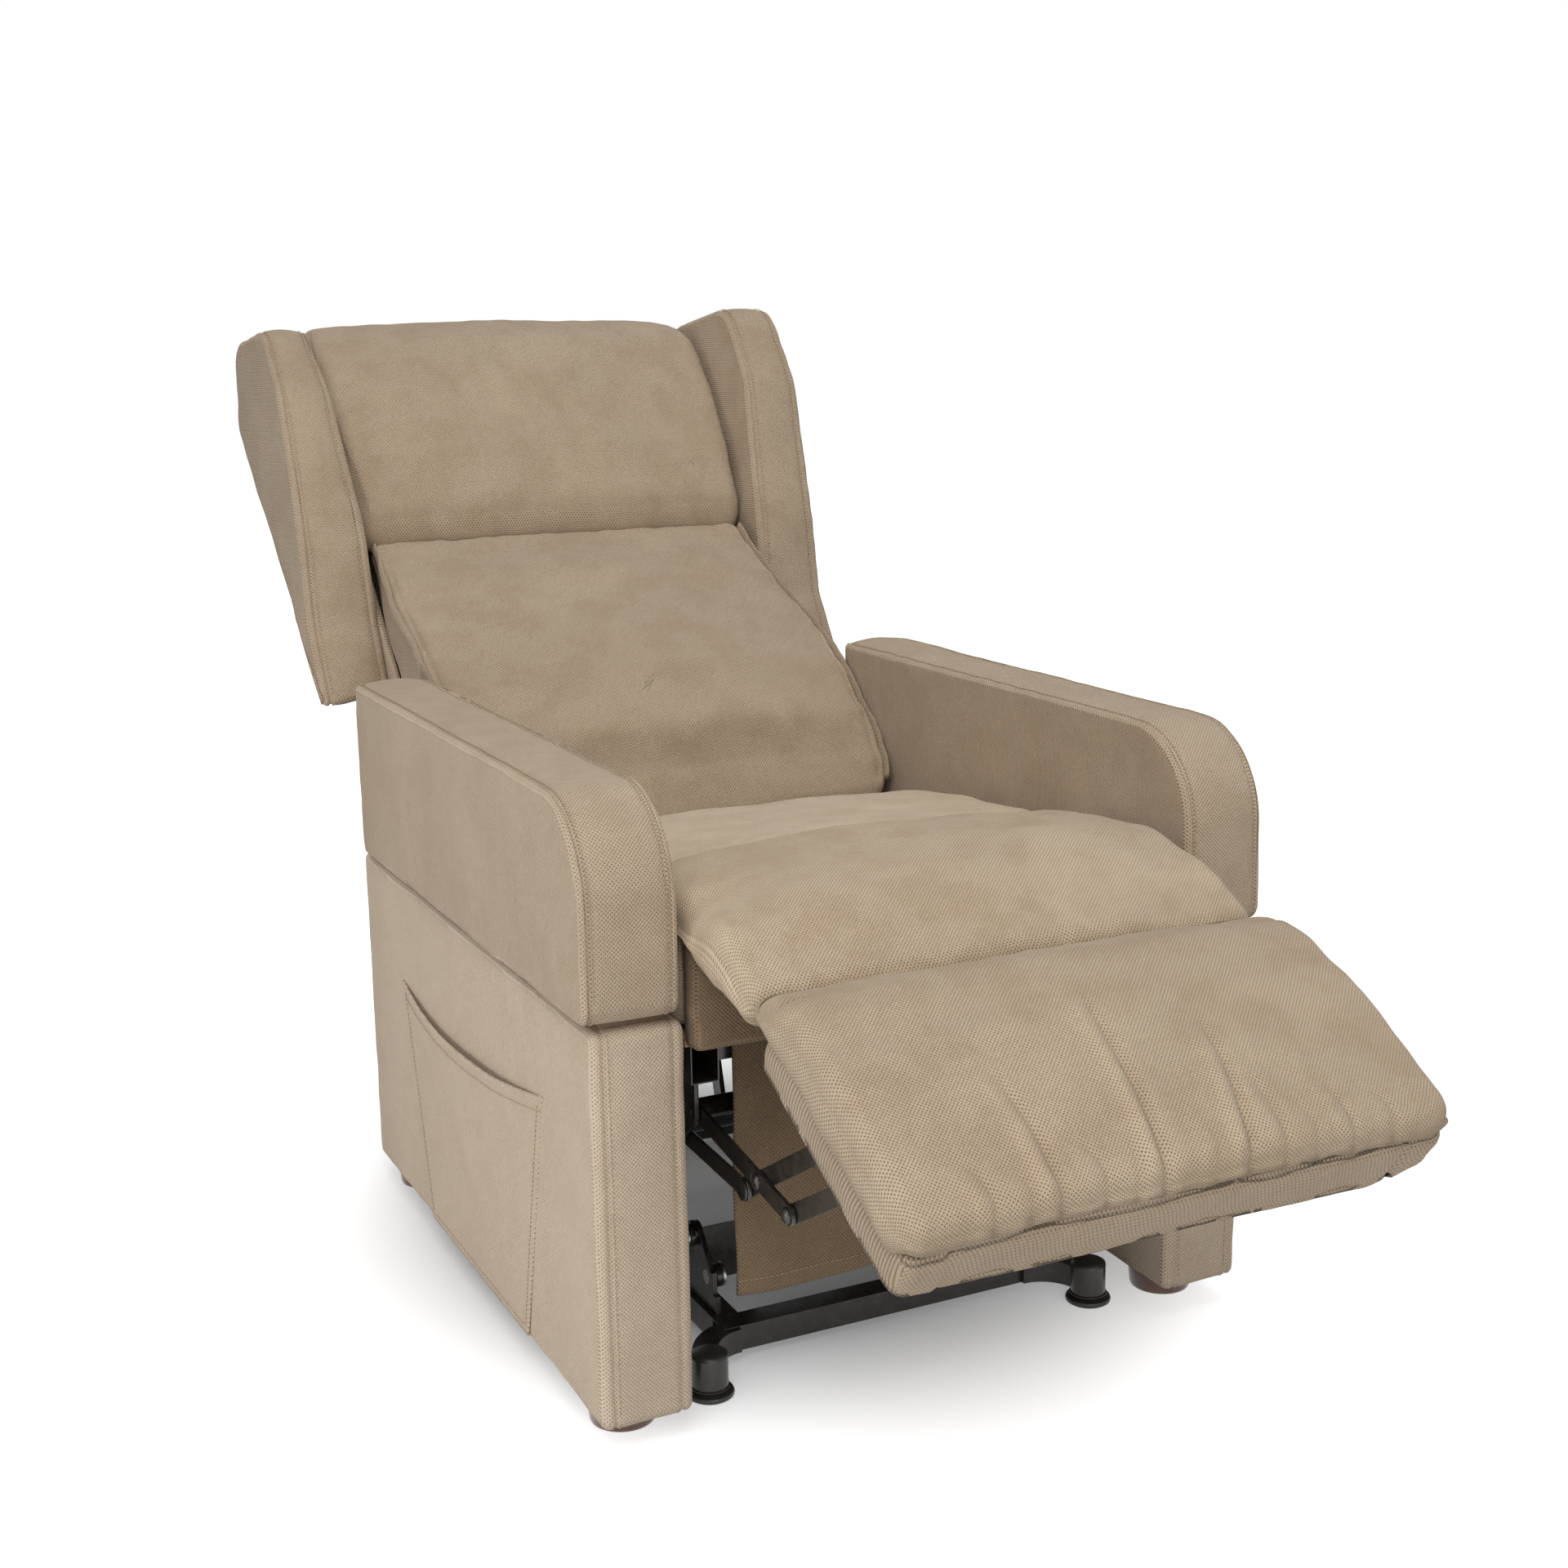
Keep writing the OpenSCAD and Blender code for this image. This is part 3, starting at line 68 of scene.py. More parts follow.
# Places are in millimetres, with y counted backwards from the side panels' front face
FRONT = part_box("side_panel_left")[0].y
DIAGONAL = math.sqrt(0.5)                               # the back leans 45 degrees
BACK_NORMAL = np.array([0.0, -DIAGONAL, DIAGONAL])
BACK_PIVOT = (690.0, 400.0)                             # y and z
BACK_FACE = -19.7                                       # n of the back's boards, which carry the pads
BOARD_EDGE = (-163.0, 465.0)                            # y and z of the footrest board's rear edge
BOARD_SLOPE = math.radians(27.0)
SIDES = ((1, "right"), (-1, "left"))
ARM_ROOM = 284.0                                        # half the room between the arms
WING_FACE = 281.0                                       # x of the wings' inner faces at their lower ends
SEAT_UNDERSIDE = 407.4                                  # z at which the seat cushion lies on its webbing
FASCIA_TOP, FASCIA_REAR = 499.6, 22.6                   # z and y at which cushions lie on the fascia
PILLOW_SEAM = 530.6                                     # d at which the head pillow meets the lumbar pad


def metres(p):
    p = np.asarray(p, float) * 0.001
    p[..., 1] += FRONT
    return p


def millimetres(p):
    p = np.array(p, float)
    p[..., 1] -= FRONT
    return p * 1000


def xyz(x, y, z):
    return np.stack(np.broadcast_arrays(x, y, z), -1)


def from_back(x, d, n):
    """Places on the back: d up along it from its pivot, and n before it."""
    return xyz(x, BACK_PIVOT[0] + (d - n) * DIAGONAL, BACK_PIVOT[1] + (d + n) * DIAGONAL)


def to_back(p):
    y, z = p[:, 1] - BACK_PIVOT[0], p[:, 2] - BACK_PIVOT[1]
    return p[:, 0], (y + z) * DIAGONAL, (z - y) * DIAGONAL


def from_board(x, s, t):
    """Places on the footrest board: s down along it from its rear edge, and t above it."""
    c, k = math.cos(BOARD_SLOPE), math.sin(BOARD_SLOPE)
    return xyz(x, BOARD_EDGE[0] - s * c - t * k, BOARD_EDGE[1] - s * k + t * c)


def to_board(p):
    c, k = math.cos(BOARD_SLOPE), math.sin(BOARD_SLOPE)
    y, z = p[:, 1] - BOARD_EDGE[0], p[:, 2] - BOARD_EDGE[1]
    return p[:, 0], -(y * c + z * k), -y * k + z * c


def ease(v):
    v = np.clip(v, 0, 1)
    return v * v * (3 - 2 * v)


def near_line(values, at, width):
    return np.exp(-(((values - at) / width) ** 2))


def dome(x, half, power):
    """1 in the middle of a pad, and 0 at its sides."""
    return np.clip(1 - (x / half) ** 2, 0, 1) ** power


def wobble(p, size, seed):
    """Smooth unevenness from -1 to 1, with lumps of about size millimetres, the same at each run."""
    r = np.random.default_rng(seed)
    out = np.zeros(len(p))
    for _ in range(9):
        k = r.normal(size=3)
        k *= 2 * math.pi / size * r.uniform(0.55, 1.5) / np.linalg.norm(k)
        out += np.sin(p @ k + r.uniform(0, 6.28))
    return out / 4


# Materials
def srgb(r, g, b):
    f = lambda c: c / 12.92 if c <= 0.04045 else ((c + 0.055) / 1.055) ** 2.4
    return tuple(f(v / 255) for v in (r, g, b))


class Nodes:
    """Short calls that make the nodes of one tree. A socket takes a value or another node's output."""

    def __init__(self, tree):
        self.tree = tree

    def put(self, socket, v):
        if hasattr(v, "links"):
            self.tree.links.new(v, socket)
        else:
            socket.default_value = v

    def add(self, kind, sockets=None, **props):
        n = self.tree.nodes.new("ShaderNode" + kind)
        for k, v in props.items():
            setattr(n, k, v)
        for k, v in (sockets or {}).items():
            self.put(n.inputs[k], v)
        return n

    def maths(self, op, a, b=0.5):
        return self.add("Math", {0: a, 1: b}, operation=op).outputs[0]

    def noise(self, scale, detail=3.0, rough=0.55, at=None):
        return self.add("TexNoise", {"Vector": self.here if at is None else at, "Scale": scale,
                                     "Detail": detail, "Roughness": rough}).outputs["Fac"]

    def span(self, v, a, b, c=0.0, d=1.0):
        return self.add("MapRange", {"Value": v, "From Min": a, "From Max": b, "To Min": c, "To Max": d},
                        interpolation_type="SMOOTHSTEP").outputs["Result"]

    def mix(self, f, a, b):
        a, b = (c if hasattr(c, "links") else (*c, 1) for c in (a, b))
        return self.add("Mix", {0: f, 6: a, 7: b}, data_type="RGBA").outputs[2]

    def bump(self, height, distance, strength, **normal):
        return self.add("Bump", {"Strength": strength, "Distance": distance, "Height": height, **normal}
                        ).outputs["Normal"]

    def set(self, **sockets):
        """Sets the principled shader's sockets, named with _ for a space; returns the material."""
        for name, v in sockets.items():
            self.put(self.shader.inputs[name.replace("_", " ")], (*v, 1) if isinstance(v, tuple) else v)
        return self.material


def surface(name, colour, rough, metallic=0.0, **sockets):
    """The nodes of a new material with one principled shader."""
    m = bpy.data.materials.new(name)
    m.use_nodes = True
    m.diffuse_color = (*colour, 1)
    k = Nodes(m.node_tree)
    k.material, k.shader = m, m.node_tree.nodes["Principled BSDF"]
    k.here = k.add("TexCoord").outputs["Object"]
    k.set(Base_Color=colour, Roughness=rough, Metallic=metallic, **sockets)
    return k


WEAVE_ACROSS, WEAVE_ALONG = 0.0040, 0.0042              # metres from pit to pit


def fabric(name, colour, along=WEAVE_ALONG, pit=0.9, ribbed=False, crushed=0.55):
    """Chenille basket weave: a staggered grid of pits, painted dark as painted shade in the weave's hollows,
    in a pale ground, with a slightly crushed pile.
    """
    k = surface(name, colour, 0.92, Sheen_Weight=0.2, Sheen_Roughness=0.5, Sheen_Tint=(1.0, 0.95, 0.88),
                Specular_IOR_Level=0.15)
    uv = k.add("SeparateXYZ", {0: k.add("UVMap", uv_map="weave").outputs["UV"]}).outputs
    drift = k.maths("MULTIPLY", k.maths("SUBTRACT", k.noise(9.0, 2.0), 0.5), 5.0)

    def wave(axis, pitch):
        return k.maths("COSINE", k.maths("ADD", k.maths("MULTIPLY", uv[axis], 2 * math.pi / pitch), drift))
    weave = wave(1, along)
    if not ribbed:
        weave = k.maths("MULTIPLY", wave(0, WEAVE_ACROSS), weave)
    pit_size = k.span(k.noise(160.0, 2.0), 0.3, 0.7, 0.42, 0.20)
    pits = k.span(k.maths("MULTIPLY", weave, -1.0), pit_size, 0.76)
    yarn, patch, nap_and_painted_shading = k.noise(420.0, 3.0, 0.65), k.noise(17.0, 4.0, 0.62), k.noise(8.0, 3.0)
    # a point attribute of painted light and shade, written where the cloth is folded or lies in shade: above
    # 0 it lightens the colour, below 0 it darkens it
    painted_shading = k.add("Attribute", attribute_name="nap_and_painted_shading").outputs["Fac"]
    col = colour
    for amount, tint in ((k.span(patch, 0.42, 0.60, 0.0, crushed), (0.88, 0.835, 0.79)),
                         (k.span(nap_and_painted_shading, 0.50, 0.66, 0.0, crushed), (1.11, 1.12, 1.12)),
                         (k.span(yarn, 0.40, 0.80, 0.0, 0.5), 0.68),
                         (k.span(yarn, 0.45, 0.20, 0.0, 0.35), 1.2),
                         # painted light, then painted shade, from that attribute
                         (k.span(painted_shading, 0.0, 1.0), 1.22),
                         (k.span(painted_shading, 0.0, -1.0), (0.56, 0.53, 0.50)),
                         # the pits painted dark: painted shade in the hollows of the weave
                         (k.maths("MULTIPLY", pits, pit), (0.34, 0.305, 0.27))):
        col = k.mix(amount, col, tuple(np.minimum(np.array(colour) * tint, 1)))
    return k.set(Base_Color=col, Roughness=k.span(yarn, 0.2, 0.8, 0.84, 0.98),
                 Normal=k.bump(weave, 0.0005, 0.9, Normal=k.bump(yarn, 0.0010, 0.4)))


def mottled(name, colour, rough, spots, dark, light, span=None, gloss=None, grain=None, relief=None,
            **sockets):
    """A finish whose spots of noise mix two colours and may change the gloss; a grain gives it relief."""
    k = surface(name, colour, rough, **sockets)
    n = k.noise(*spots)
    k.set(Base_Color=k.mix(k.span(n, *span) if span else n, dark, light))
    if gloss:
        k.set(Roughness=k.span(n, *gloss))
    if grain:
        k.set(Normal=k.bump(k.noise(*grain), *relief))
    return k.material


def wood(name, dark, light, rough, coat=0.0):
    k = surface(name, light, rough, Coat_Weight=coat, Coat_Roughness=0.2)
    streaks = k.add("Mapping", {"Vector": k.here, "Scale": (108.0, 18.0, 108.0)}).outputs["Vector"]
    grain, fine = k.noise(1.0, 6.0, 0.7, streaks), k.noise(7.0, 3.0, at=streaks)
    col = k.mix(k.span(grain, 0.3, 0.7), dark, light)
    return k.set(Base_Color=k.mix(k.span(fine, 0.5, 0.8, 0.0, 0.5), col, tuple(0.6 * v for v in dark)),
                 Normal=k.bump(grain, 0.0004, 0.4))


def webbing():
    k = surface("elastic_webbing", (0.05, 0.05, 0.055), 0.85)
    bands = k.add("TexWave", {"Vector": k.here, "Scale": 90.0}, wave_type="BANDS",
                  bands_direction="Y").outputs["Fac"]
    return k.set(Base_Color=k.mix(bands, (0.035, 0.035, 0.04), (0.11, 0.1, 0.1)),
                 Normal=k.bump(bands, 0.0006, 0.7))


# copies of one beige cloth, whose colours differ as painted light and shade for where each lies: the panels',
# the bridge's and the seat top's are painted lighter, the back's and the board's darker, the footrest
# pillow's darker than the bridge's, and the shaded copy much darker
FABRIC = fabric("beige_weave", srgb(197, 178, 155), crushed=0.45)
FABRIC_BACK = fabric("beige_weave_back", srgb(188, 169, 146), crushed=0.6)
FABRIC_SIDE = fabric("beige_weave_panels", srgb(217, 199, 177), pit=0.8, crushed=0.3)
FABRIC_TOP = fabric("beige_weave_bridge", srgb(204, 185, 160), pit=1.0, crushed=0.8)
FABRIC_SEAT = fabric("beige_weave_seat_top", srgb(222, 204, 180), pit=0.9, crushed=0.7)
FABRIC_FOOT = fabric("beige_weave_footrest", srgb(196, 177, 153), pit=1.0, crushed=0.7)
FABRIC_BOARD = fabric("beige_weave_board", srgb(190, 171, 148), pit=0.8, crushed=0.4)
FABRIC_RIB = fabric("beige_weave_ribbed", srgb(194, 175, 152), along=0.0044, pit=0.8, ribbed=True,
                    crushed=0.3)
FABRIC_DARK = fabric("beige_weave_shaded", srgb(150, 129, 105), crushed=0.4)
THREAD = mottled("stitching_thread", srgb(196, 178, 154), 0.7, (1400.0, 2.0), srgb(200, 181, 156),
                 srgb(166, 145, 120), span=(0.3, 0.7), grain=(1400.0, 2.0), relief=(0.0003, 0.8))
SEAM_SHADE = mottled("seam_shadow", srgb(112, 94, 76), 0.95, (300.0,), srgb(96, 80, 64), srgb(132, 112, 91))
STEEL = mottled("black_painted_steel", (0.018, 0.016, 0.014), 0.32, (60.0, 5.0, 0.7), (0.016, 0.014, 0.012),
                (0.034, 0.029, 0.024), span=(0.45, 0.75), gloss=(0.3, 0.8, 0.26, 0.46), grain=(700.0, 2.0),
                relief=(0.0002, 0.5), Coat_Weight=0.25, Coat_Roughness=0.18)
BRIGHT = mottled("bright_pin_steel", (0.42, 0.41, 0.4), 0.34, (260.0, 4.0, 0.7), (0.45, 0.44, 0.43),
                 (0.27, 0.26, 0.25), span=(0.4, 0.7), gloss=(0.3, 0.7, 0.28, 0.48), metallic=1.0)
RIVET = mottled("dark_rivet_steel", (0.05, 0.045, 0.04), 0.3, (420.0, 3.0), (0.035, 0.03, 0.027),
                (0.09, 0.08, 0.072), gloss=(0.3, 0.7, 0.22, 0.42), metallic=0.8)
PLASTIC = mottled("black_moulded_plastic", (0.022, 0.022, 0.02), 0.42, (30.0,), (0.018, 0.018, 0.016),
                  (0.032, 0.031, 0.028), grain=(1500.0, 2.0), relief=(0.0002, 0.6))
FOOT_WOOD = wood("stained_foot_wood", srgb(66, 34, 20), srgb(106, 62, 38), 0.34, 0.5)
BARE_WOOD = wood("deck_wood", srgb(150, 118, 82), srgb(196, 166, 124), 0.7)
WEBBING = webbing()


# Mesh helpers
def shown(name, data):
    o = bpy.data.objects.new(name, data)
    bpy.context.scene.collection.objects.link(o)
    return o


def make(name, verts, faces, material, uv=None):
    """A mesh object from millimetre places; uv is one pair in metres for each corner of each face."""
    me = bpy.data.meshes.new(name)
    me.from_pydata(metres(verts).tolist(), [], faces)
    if uv is not None:
        me.uv_layers.new(name="weave").data.foreach_set("uv", np.asarray(uv, np.float32).ravel())
    me.validate(verbose=False)
    me.polygons.foreach_set("use_smooth", [True] * len(me.polygons))
    me.materials.append(material)
    return shown(name, me)


@contextmanager
def edited(o):
    """The object's mesh as an edit mesh, which is written back at the end."""
    bm = bmesh.new()
    bm.from_mesh(o.data)
    yield bm
    bm.to_mesh(o.data)
    bm.free()


def outward(o):
    with edited(o) as bm:
        bmesh.ops.remove_doubles(bm, verts=bm.verts, dist=1e-6)
        bmesh.ops.recalc_face_normals(bm, faces=bm.faces)
    return o


def with_modifier(o, kind, **props):
    m = o.modifiers.new(kind.lower(), kind)
    for k, v in props.items():
        setattr(m, k, v)
    return m


def baked(o):
    """Replaces the object's mesh by what its modifiers make of it."""
    dg = bpy.context.evaluated_depsgraph_get()
    me = bpy.data.meshes.new_from_object(o.evaluated_get(dg), preserve_all_data_layers=True, depsgraph=dg)
    o.modifiers.clear()
    o.data = me


def read(items, key, width, kind=np.float32):
    """One property of all the items of a mesh, as rows of an array."""
    out = np.empty(len(items) * width, kind)
    items.foreach_get(key, out)
    return out.reshape(-1, width) if width > 1 else out


def places(o):
    return millimetres(read(o.data.vertices, "co", 3))


def normals(o):
    return read(o.data.vertex_normals, "vector", 3).astype(float)


def set_places(o, p):
    o.data.vertices.foreach_set("co", metres(p).astype(np.float32).ravel())
    o.data.update()


def place_piece(o, body, slot, *nodes, fill=None):
    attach(o, body)
    if nodes:
        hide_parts(*nodes)


def tree_of(points):
    tree = KDTree(len(points))
    for i, q in enumerate(points):
        tree.insert(q, i)
    tree.balance()
    return tree


def distances(line):
    """How far along a line each of its places lies."""
    return np.r_[0, np.cumsum(np.linalg.norm(np.diff(line, axis=0), axis=1))]


def sampled(line, run, t):
    return np.stack([np.interp(t, run, c) for c in line.T], -1)


def spaced(line, step, closed=True):
    line = np.asarray(line, float)
    loop = np.vstack([line, line[:1]]) if closed else line
    run = distances(loop)
    n = max(8, int(round(run[-1] / step)))
    return sampled(loop, run, np.linspace(0, run[-1], n + 1)[: n if closed else n + 1])


def filleted(points, radii, step=4.0):
    """Closed outline with each corner rounded, and places about step millimetres apart."""
    pts = [np.array(p, float) for p in points]
    out = []
    for i, (p, r) in enumerate(zip(pts, radii)):
        a, b = pts[i - 1] - p, pts[(i + 1) % len(pts)] - p
        long_a, long_b = np.linalg.norm(a), np.linalg.norm(b)
        u, v = a / long_a, b / long_b
        half = math.acos(np.clip(u @ v, -1, 1)) / 2
        cut = min(r / math.tan(half), 0.49 * long_a, 0.49 * long_b)
        r = cut * math.tan(half)
        if r < 0.5:
            out.append(p)
            continue
        c = p + (u + v) / np.linalg.norm(u + v) * r / math.sin(half)
        s, e = p + u * cut - c, p + v * cut - c
        a0, a1 = math.atan2(s[1], s[0]), math.atan2(e[1], e[0])
        turn = (a1 - a0 + math.pi) % (2 * math.pi) - math.pi
        n = max(3, int(abs(turn) * r / step) + 2)
        angles = [a0 + turn * k / n for k in range(n + 1)]
        out += [c + r * np.array([math.cos(a), math.sin(a)]) for a in angles]
    return spaced(np.array(out), step)


def outline_normals(outline):
    """The way out of a closed outline, at each of its places."""
    ahead, behind = np.roll(outline, -1, 0), np.roll(outline, 1, 0)
    t = (ahead - behind) / np.linalg.norm(ahead - behind, axis=1)[:, None]
    x, y = outline.T
    turns_left = np.sum(x * np.roll(y, -1) - np.roll(x, -1) * y) >= 0
    return np.stack([t[:, 1], -t[:, 0]], -1) * (1 if turns_left else -1)


def ring_faces(rows, n):
    """Quads between rows of n places that close in a ring."""
    return [(k * n + i, k * n + (i + 1) % n, k * n + n + (i + 1) % n, k * n + n + i)
            for k in range(rows - 1) for i in range(n)]


def tube_faces(rows, n):
    return ring_faces(rows, n) + [tuple(range(n))[::-1], tuple(range((rows - 1) * n, rows * n))]


def slab(name, outline, spine, rows, put, material, both_faces=False, weigh=None, heights=None, flatten=None,
         inset=0.0):
    """A padded board or wedge: rows of the outline from one face to the other.
    A row is (share towards the spine, offset along the outline's normal, place across). The weave runs along
    the outline on the band, where heights are the rows' own places. With flatten it is one sheet instead,
    unrolled over the face inside the inset and on down the band. With both_faces, the faces have a slot of
    their own."""
    n = len(outline)
    normal = outline_normals(outline)
    run = distances(np.vstack([outline, outline[:1]]))
    a, b = np.array(spine, float)
    share = np.clip(((outline - a) @ (b - a)) / ((b - a) @ (b - a)), 0, 1)
    target = a + share[:, None] * (b - a)
    weight = np.ones(n) if weigh is None else weigh(outline)
    levels = heights or [row[2] for row in rows]
    layers, flat = [], []
    for k, (t, off, across) in enumerate(rows):
        p = outline + normal * (off * np.where(off > 0, weight, 1))[:, None]
        p = p + (target - p) * t
        layers.append(put(*p.T, np.full(n, float(across))))
        if flatten:
            p = flatten(p) if t > 0 else flatten(outline - normal * inset) + normal * levels[k]
        flat.append(p)
    uv, slots = [], []
    for k in range(len(rows) - 1):
        on_face = rows[k][0] > 0 or rows[k + 1][0] > 0
        slots += [int(on_face and both_faces)] * n
        for i in range(n):
            if on_face or flatten:
                j = (i + 1) % n
                uv += [flat[k][i], flat[k][j], flat[k + 1][j], flat[k + 1][i]]
            else:
                corners = [(run[q], levels[w]) for q, w in ((i, k), (i + 1, k), (i + 1, k + 1), (i, k + 1))]
                uv += corners if heights else [c[::-1] for c in corners]
    o = make(name, np.vstack(layers), ring_faces(len(rows), n), material, np.array(uv) / 1000)
    if both_faces:
        o.data.materials.append(material)
        o.data.polygons.foreach_set("material_index", slots)
    return outward(o)


def edge_rows(half, centre, edge, seam, crown, puff, groove=2.2, steps=12):
    """Rows of a slab: a face, a rolled edge, a sewn groove, a crowned band, and the same again after it."""
    def one(sign, puff):
        out = [(t, -edge, half + puff * (1 - (1 - t) ** 2.2))
               for t in (1.0, 0.86, 0.68, 0.5, 0.34, 0.21, 0.12, 0.06, 0.025)]
        out += [(0, -edge * (1 - math.cos(q)), half - edge + edge * math.sin(q))
                for q in map(math.radians, (90, 72, 54, 36, 20, 8))]
        out += [(0, -share * groove, half - seam + along)
                for share, along in ((0.15, 2.6), (0.7, 1.1), (1, 0), (0.75, -0.9), (0.1, -2.6))]
        return [(t, off, centre + sign * across) for t, off, across in out]

    inner = half - seam - 2.6
    band = [(0, crown * (1 - (v / inner) ** 2) ** 0.8 + 0.25, centre + v)
            for v in np.linspace(-inner, inner, steps + 1)[1:-1]]
    return one(-1, puff[0]) + band + one(1, puff[1])[::-1]


def face_rows(level, radius, puff, angles):
    """Rows of a slightly puffed face at the low end of a slab, and of the round edge after it."""
    rows = [(t, -radius, level - puff * (1 - (1 - t) ** 2)) for t in (1.0, 0.8, 0.6, 0.4, 0.22, 0.1, 0.04)]
    return rows + [(0, radius * (math.cos(q) - 1), level + radius * (1 - math.sin(q)))
                   for q in map(math.radians, angles)]


def paint_shading(o, values):
    """Writes painted light (1, pale) or painted shade (-1, dark) into the cloth's colour, as a point
    attribute that the fabric reads.
    """
    values = np.clip(values, -1, 1).astype(np.float32)
    o.data.attributes.new("nap_and_painted_shading", "FLOAT", "POINT").data.foreach_set("value", values)


def rumple(o, *layers, limit=None):
    """Lays unevenness over a surface; a layer is (amount, size of its lumps, seed)."""
    for amount, size, seed in layers:
        p = places(o)
        p += normals(o) * (wobble(p, size, seed) * amount)[:, None]
        set_places(o, limit(p) if limit else p)


def flat_tube(name, path, radius, squeeze, up, material, sides=14):
    """A flattened tube along a path, with weave coordinates."""
    t = np.gradient(path, axis=0)
    t /= np.linalg.norm(t, axis=1)[:, None]
    a = np.cross(t, up)
    a /= np.linalg.norm(a, axis=1)[:, None] + 1e-9
    b = np.cross(a, t)
    ang = 2 * math.pi * np.arange(sides)[None, :, None] / sides
    ring = (a[:, None] * np.cos(ang) * squeeze + b[:, None] * np.sin(ang)) * radius
    run, q = distances(path), 2 * math.pi * radius / sides
    uv = [(j * q, run[m]) for k in range(len(path) - 1) for i in range(sides)
          for j, m in ((i, k), (i + 1, k), (i + 1, k + 1), (i, k + 1))] + [(0, 0)] * (2 * sides)
    verts = (path[:, None] + ring).reshape(-1, 3)
    return outward(make(name, verts, tube_faces(len(path), sides), material, np.array(uv) / 1000))


def stitches(name, runs, body="seat", slot="upholstery", thick=0.55):
    """Topstitching: each run is (places, normals) on the cloth, and every stitch dips at both ends."""
    pitch, length = 5.6, 3.7
    verts, faces = [], []
    for path, nrm in runs:
        nrm = np.broadcast_to(nrm, path.shape)
        run = distances(path)
        for s in np.arange(pitch / 2, run[-1] - length, pitch):
            pts = sampled(path, run, s + length * np.array([0, 0.3, 0.7, 1]))
            up = sampled(nrm, run, s + length / 2)
            up /= np.linalg.norm(up) + 1e-9
            d = pts[3] - pts[0]
            side = np.cross(d / (np.linalg.norm(d) + 1e-9), up)
            faces += [tuple(len(verts) + i for i in f) for f in tube_faces(4, 4)]
            for c, lift in zip(pts, (-0.25, 0.35, 0.35, -0.25)):
                verts += [c + up * lift + (side * u * 1.1 + up * v) * thick
                          for u, v in ((1, 0), (0, 1), (-1, 0), (0, -1))]
    place_piece(make(name, np.array(verts), faces, THREAD), body, slot)


def lie_on(o, pts, lift=0.0):
    """Moves a path onto the surface of an object; returns the places and the normals there."""
    tree = BVHTree.FromPolygons([v.co[:] for v in o.data.vertices], [p.vertices[:] for p in o.data.polygons])
    found = [tree.find_nearest(Vector(p))[:2] for p in metres(pts)]
    out, nrm = (np.array([f[i] for f in found], float) for i in (0, 1))
    nrm = np.stack([np.convolve(np.pad(c, 2, mode="edge"), np.ones(5) / 5, "valid") for c in nrm.T], -1)
    return millimetres(out) + nrm * lift, nrm


def groove(o, lines, width, depth, shape=2.0):
    """Presses lines into a surface along its normals; a line is (places, share of the depth at each)."""
    p, n = places(o), normals(o)
    drop = np.zeros(len(p))
    reach = 3 * width
    for line, share in lines:
        fine = spaced(np.column_stack([line, np.broadcast_to(share, (len(line),))]), 2.0, closed=False)
        path, deep = fine[:, :3], fine[:, 3]
        tree = tree_of(path)
        for i in np.where(((p > path.min(0) - reach) & (p < path.max(0) + reach)).all(1))[0]:
            _, j, dist = tree.find(p[i])
            if dist < reach:
                drop[i] = max(drop[i], depth * deep[j] * math.exp(-((dist / width) ** shape)))
    set_places(o, p - n * drop[:, None])


def pad(name, outline, spine, low, high, put, r_low, r_high, thick, material, bulge, top):
    """A cushion over an outline in its own plane: a low and a high face, rolled edges and a bulging band.
    Its edges are rounded by r_low and r_high, thick is its height as the weave sees it, and top is the number
    of rows on its high face."""
    def level(a, b, across):
        c = float(across[0])
        lo, hi = low(a, b), high(a, b)
        if c <= 1:
            return put(a, b, lo + r_low * c)
        if c <= 2:
            return put(a, b, (lo + r_low) * (2 - c) + (hi - r_high) * (c - 1))
        return put(a, b, hi - r_high * (3 - c))

    under, band, quarter = 8, 8, math.pi / 2
    side = thick - r_low - r_high
    rows = [(t, -r_low, 0) for t in np.linspace(1, 0, under + 1)[:-1]]
    heights = [0.0] * under
    for q in np.radians([10, 30, 50, 70, 90]):
        rows.append((0, -r_low * (1 - math.sin(q)), 1 - math.cos(q)))
        heights.append(r_high * quarter + side + r_low * (quarter - q))
    for w in np.linspace(0, 1, band + 1)[1:]:
        rows.append((0, bulge * 4 * w * (1 - w), 1 + w))
        heights.append(r_high * quarter + (1 - w) * side)
    for q in np.radians([12, 24, 36, 48, 60, 72, 82]):
        rows.append((0, -r_high * (1 - math.cos(q)), 2 + math.sin(q)))
        heights.append(r_high * (quarter - q))
    rows += [(t, -r_high, 3) for t in np.linspace(0, 1, top + 1)]
    heights += [0.0] * (top + 1)
    grid = np.linspace(outline[:, 1].min() - 30, outline[:, 1].max() + 30, 400)
    run = distances(put(grid * 0, grid, high(grid * 0, grid)))
    unroll = lambda p: np.stack([p[:, 0], np.interp(p[:, 1], grid, run)], -1)
    o = slab(name, outline, spine, rows, level, material, heights=heights, flatten=unroll, inset=r_high)
    with edited(o) as bm:
        bmesh.ops.dissolve_degenerate(bm, dist=2e-5, edges=bm.edges)
    o.data.polygons.foreach_set("use_smooth", [True] * len(o.data.polygons))
    return o


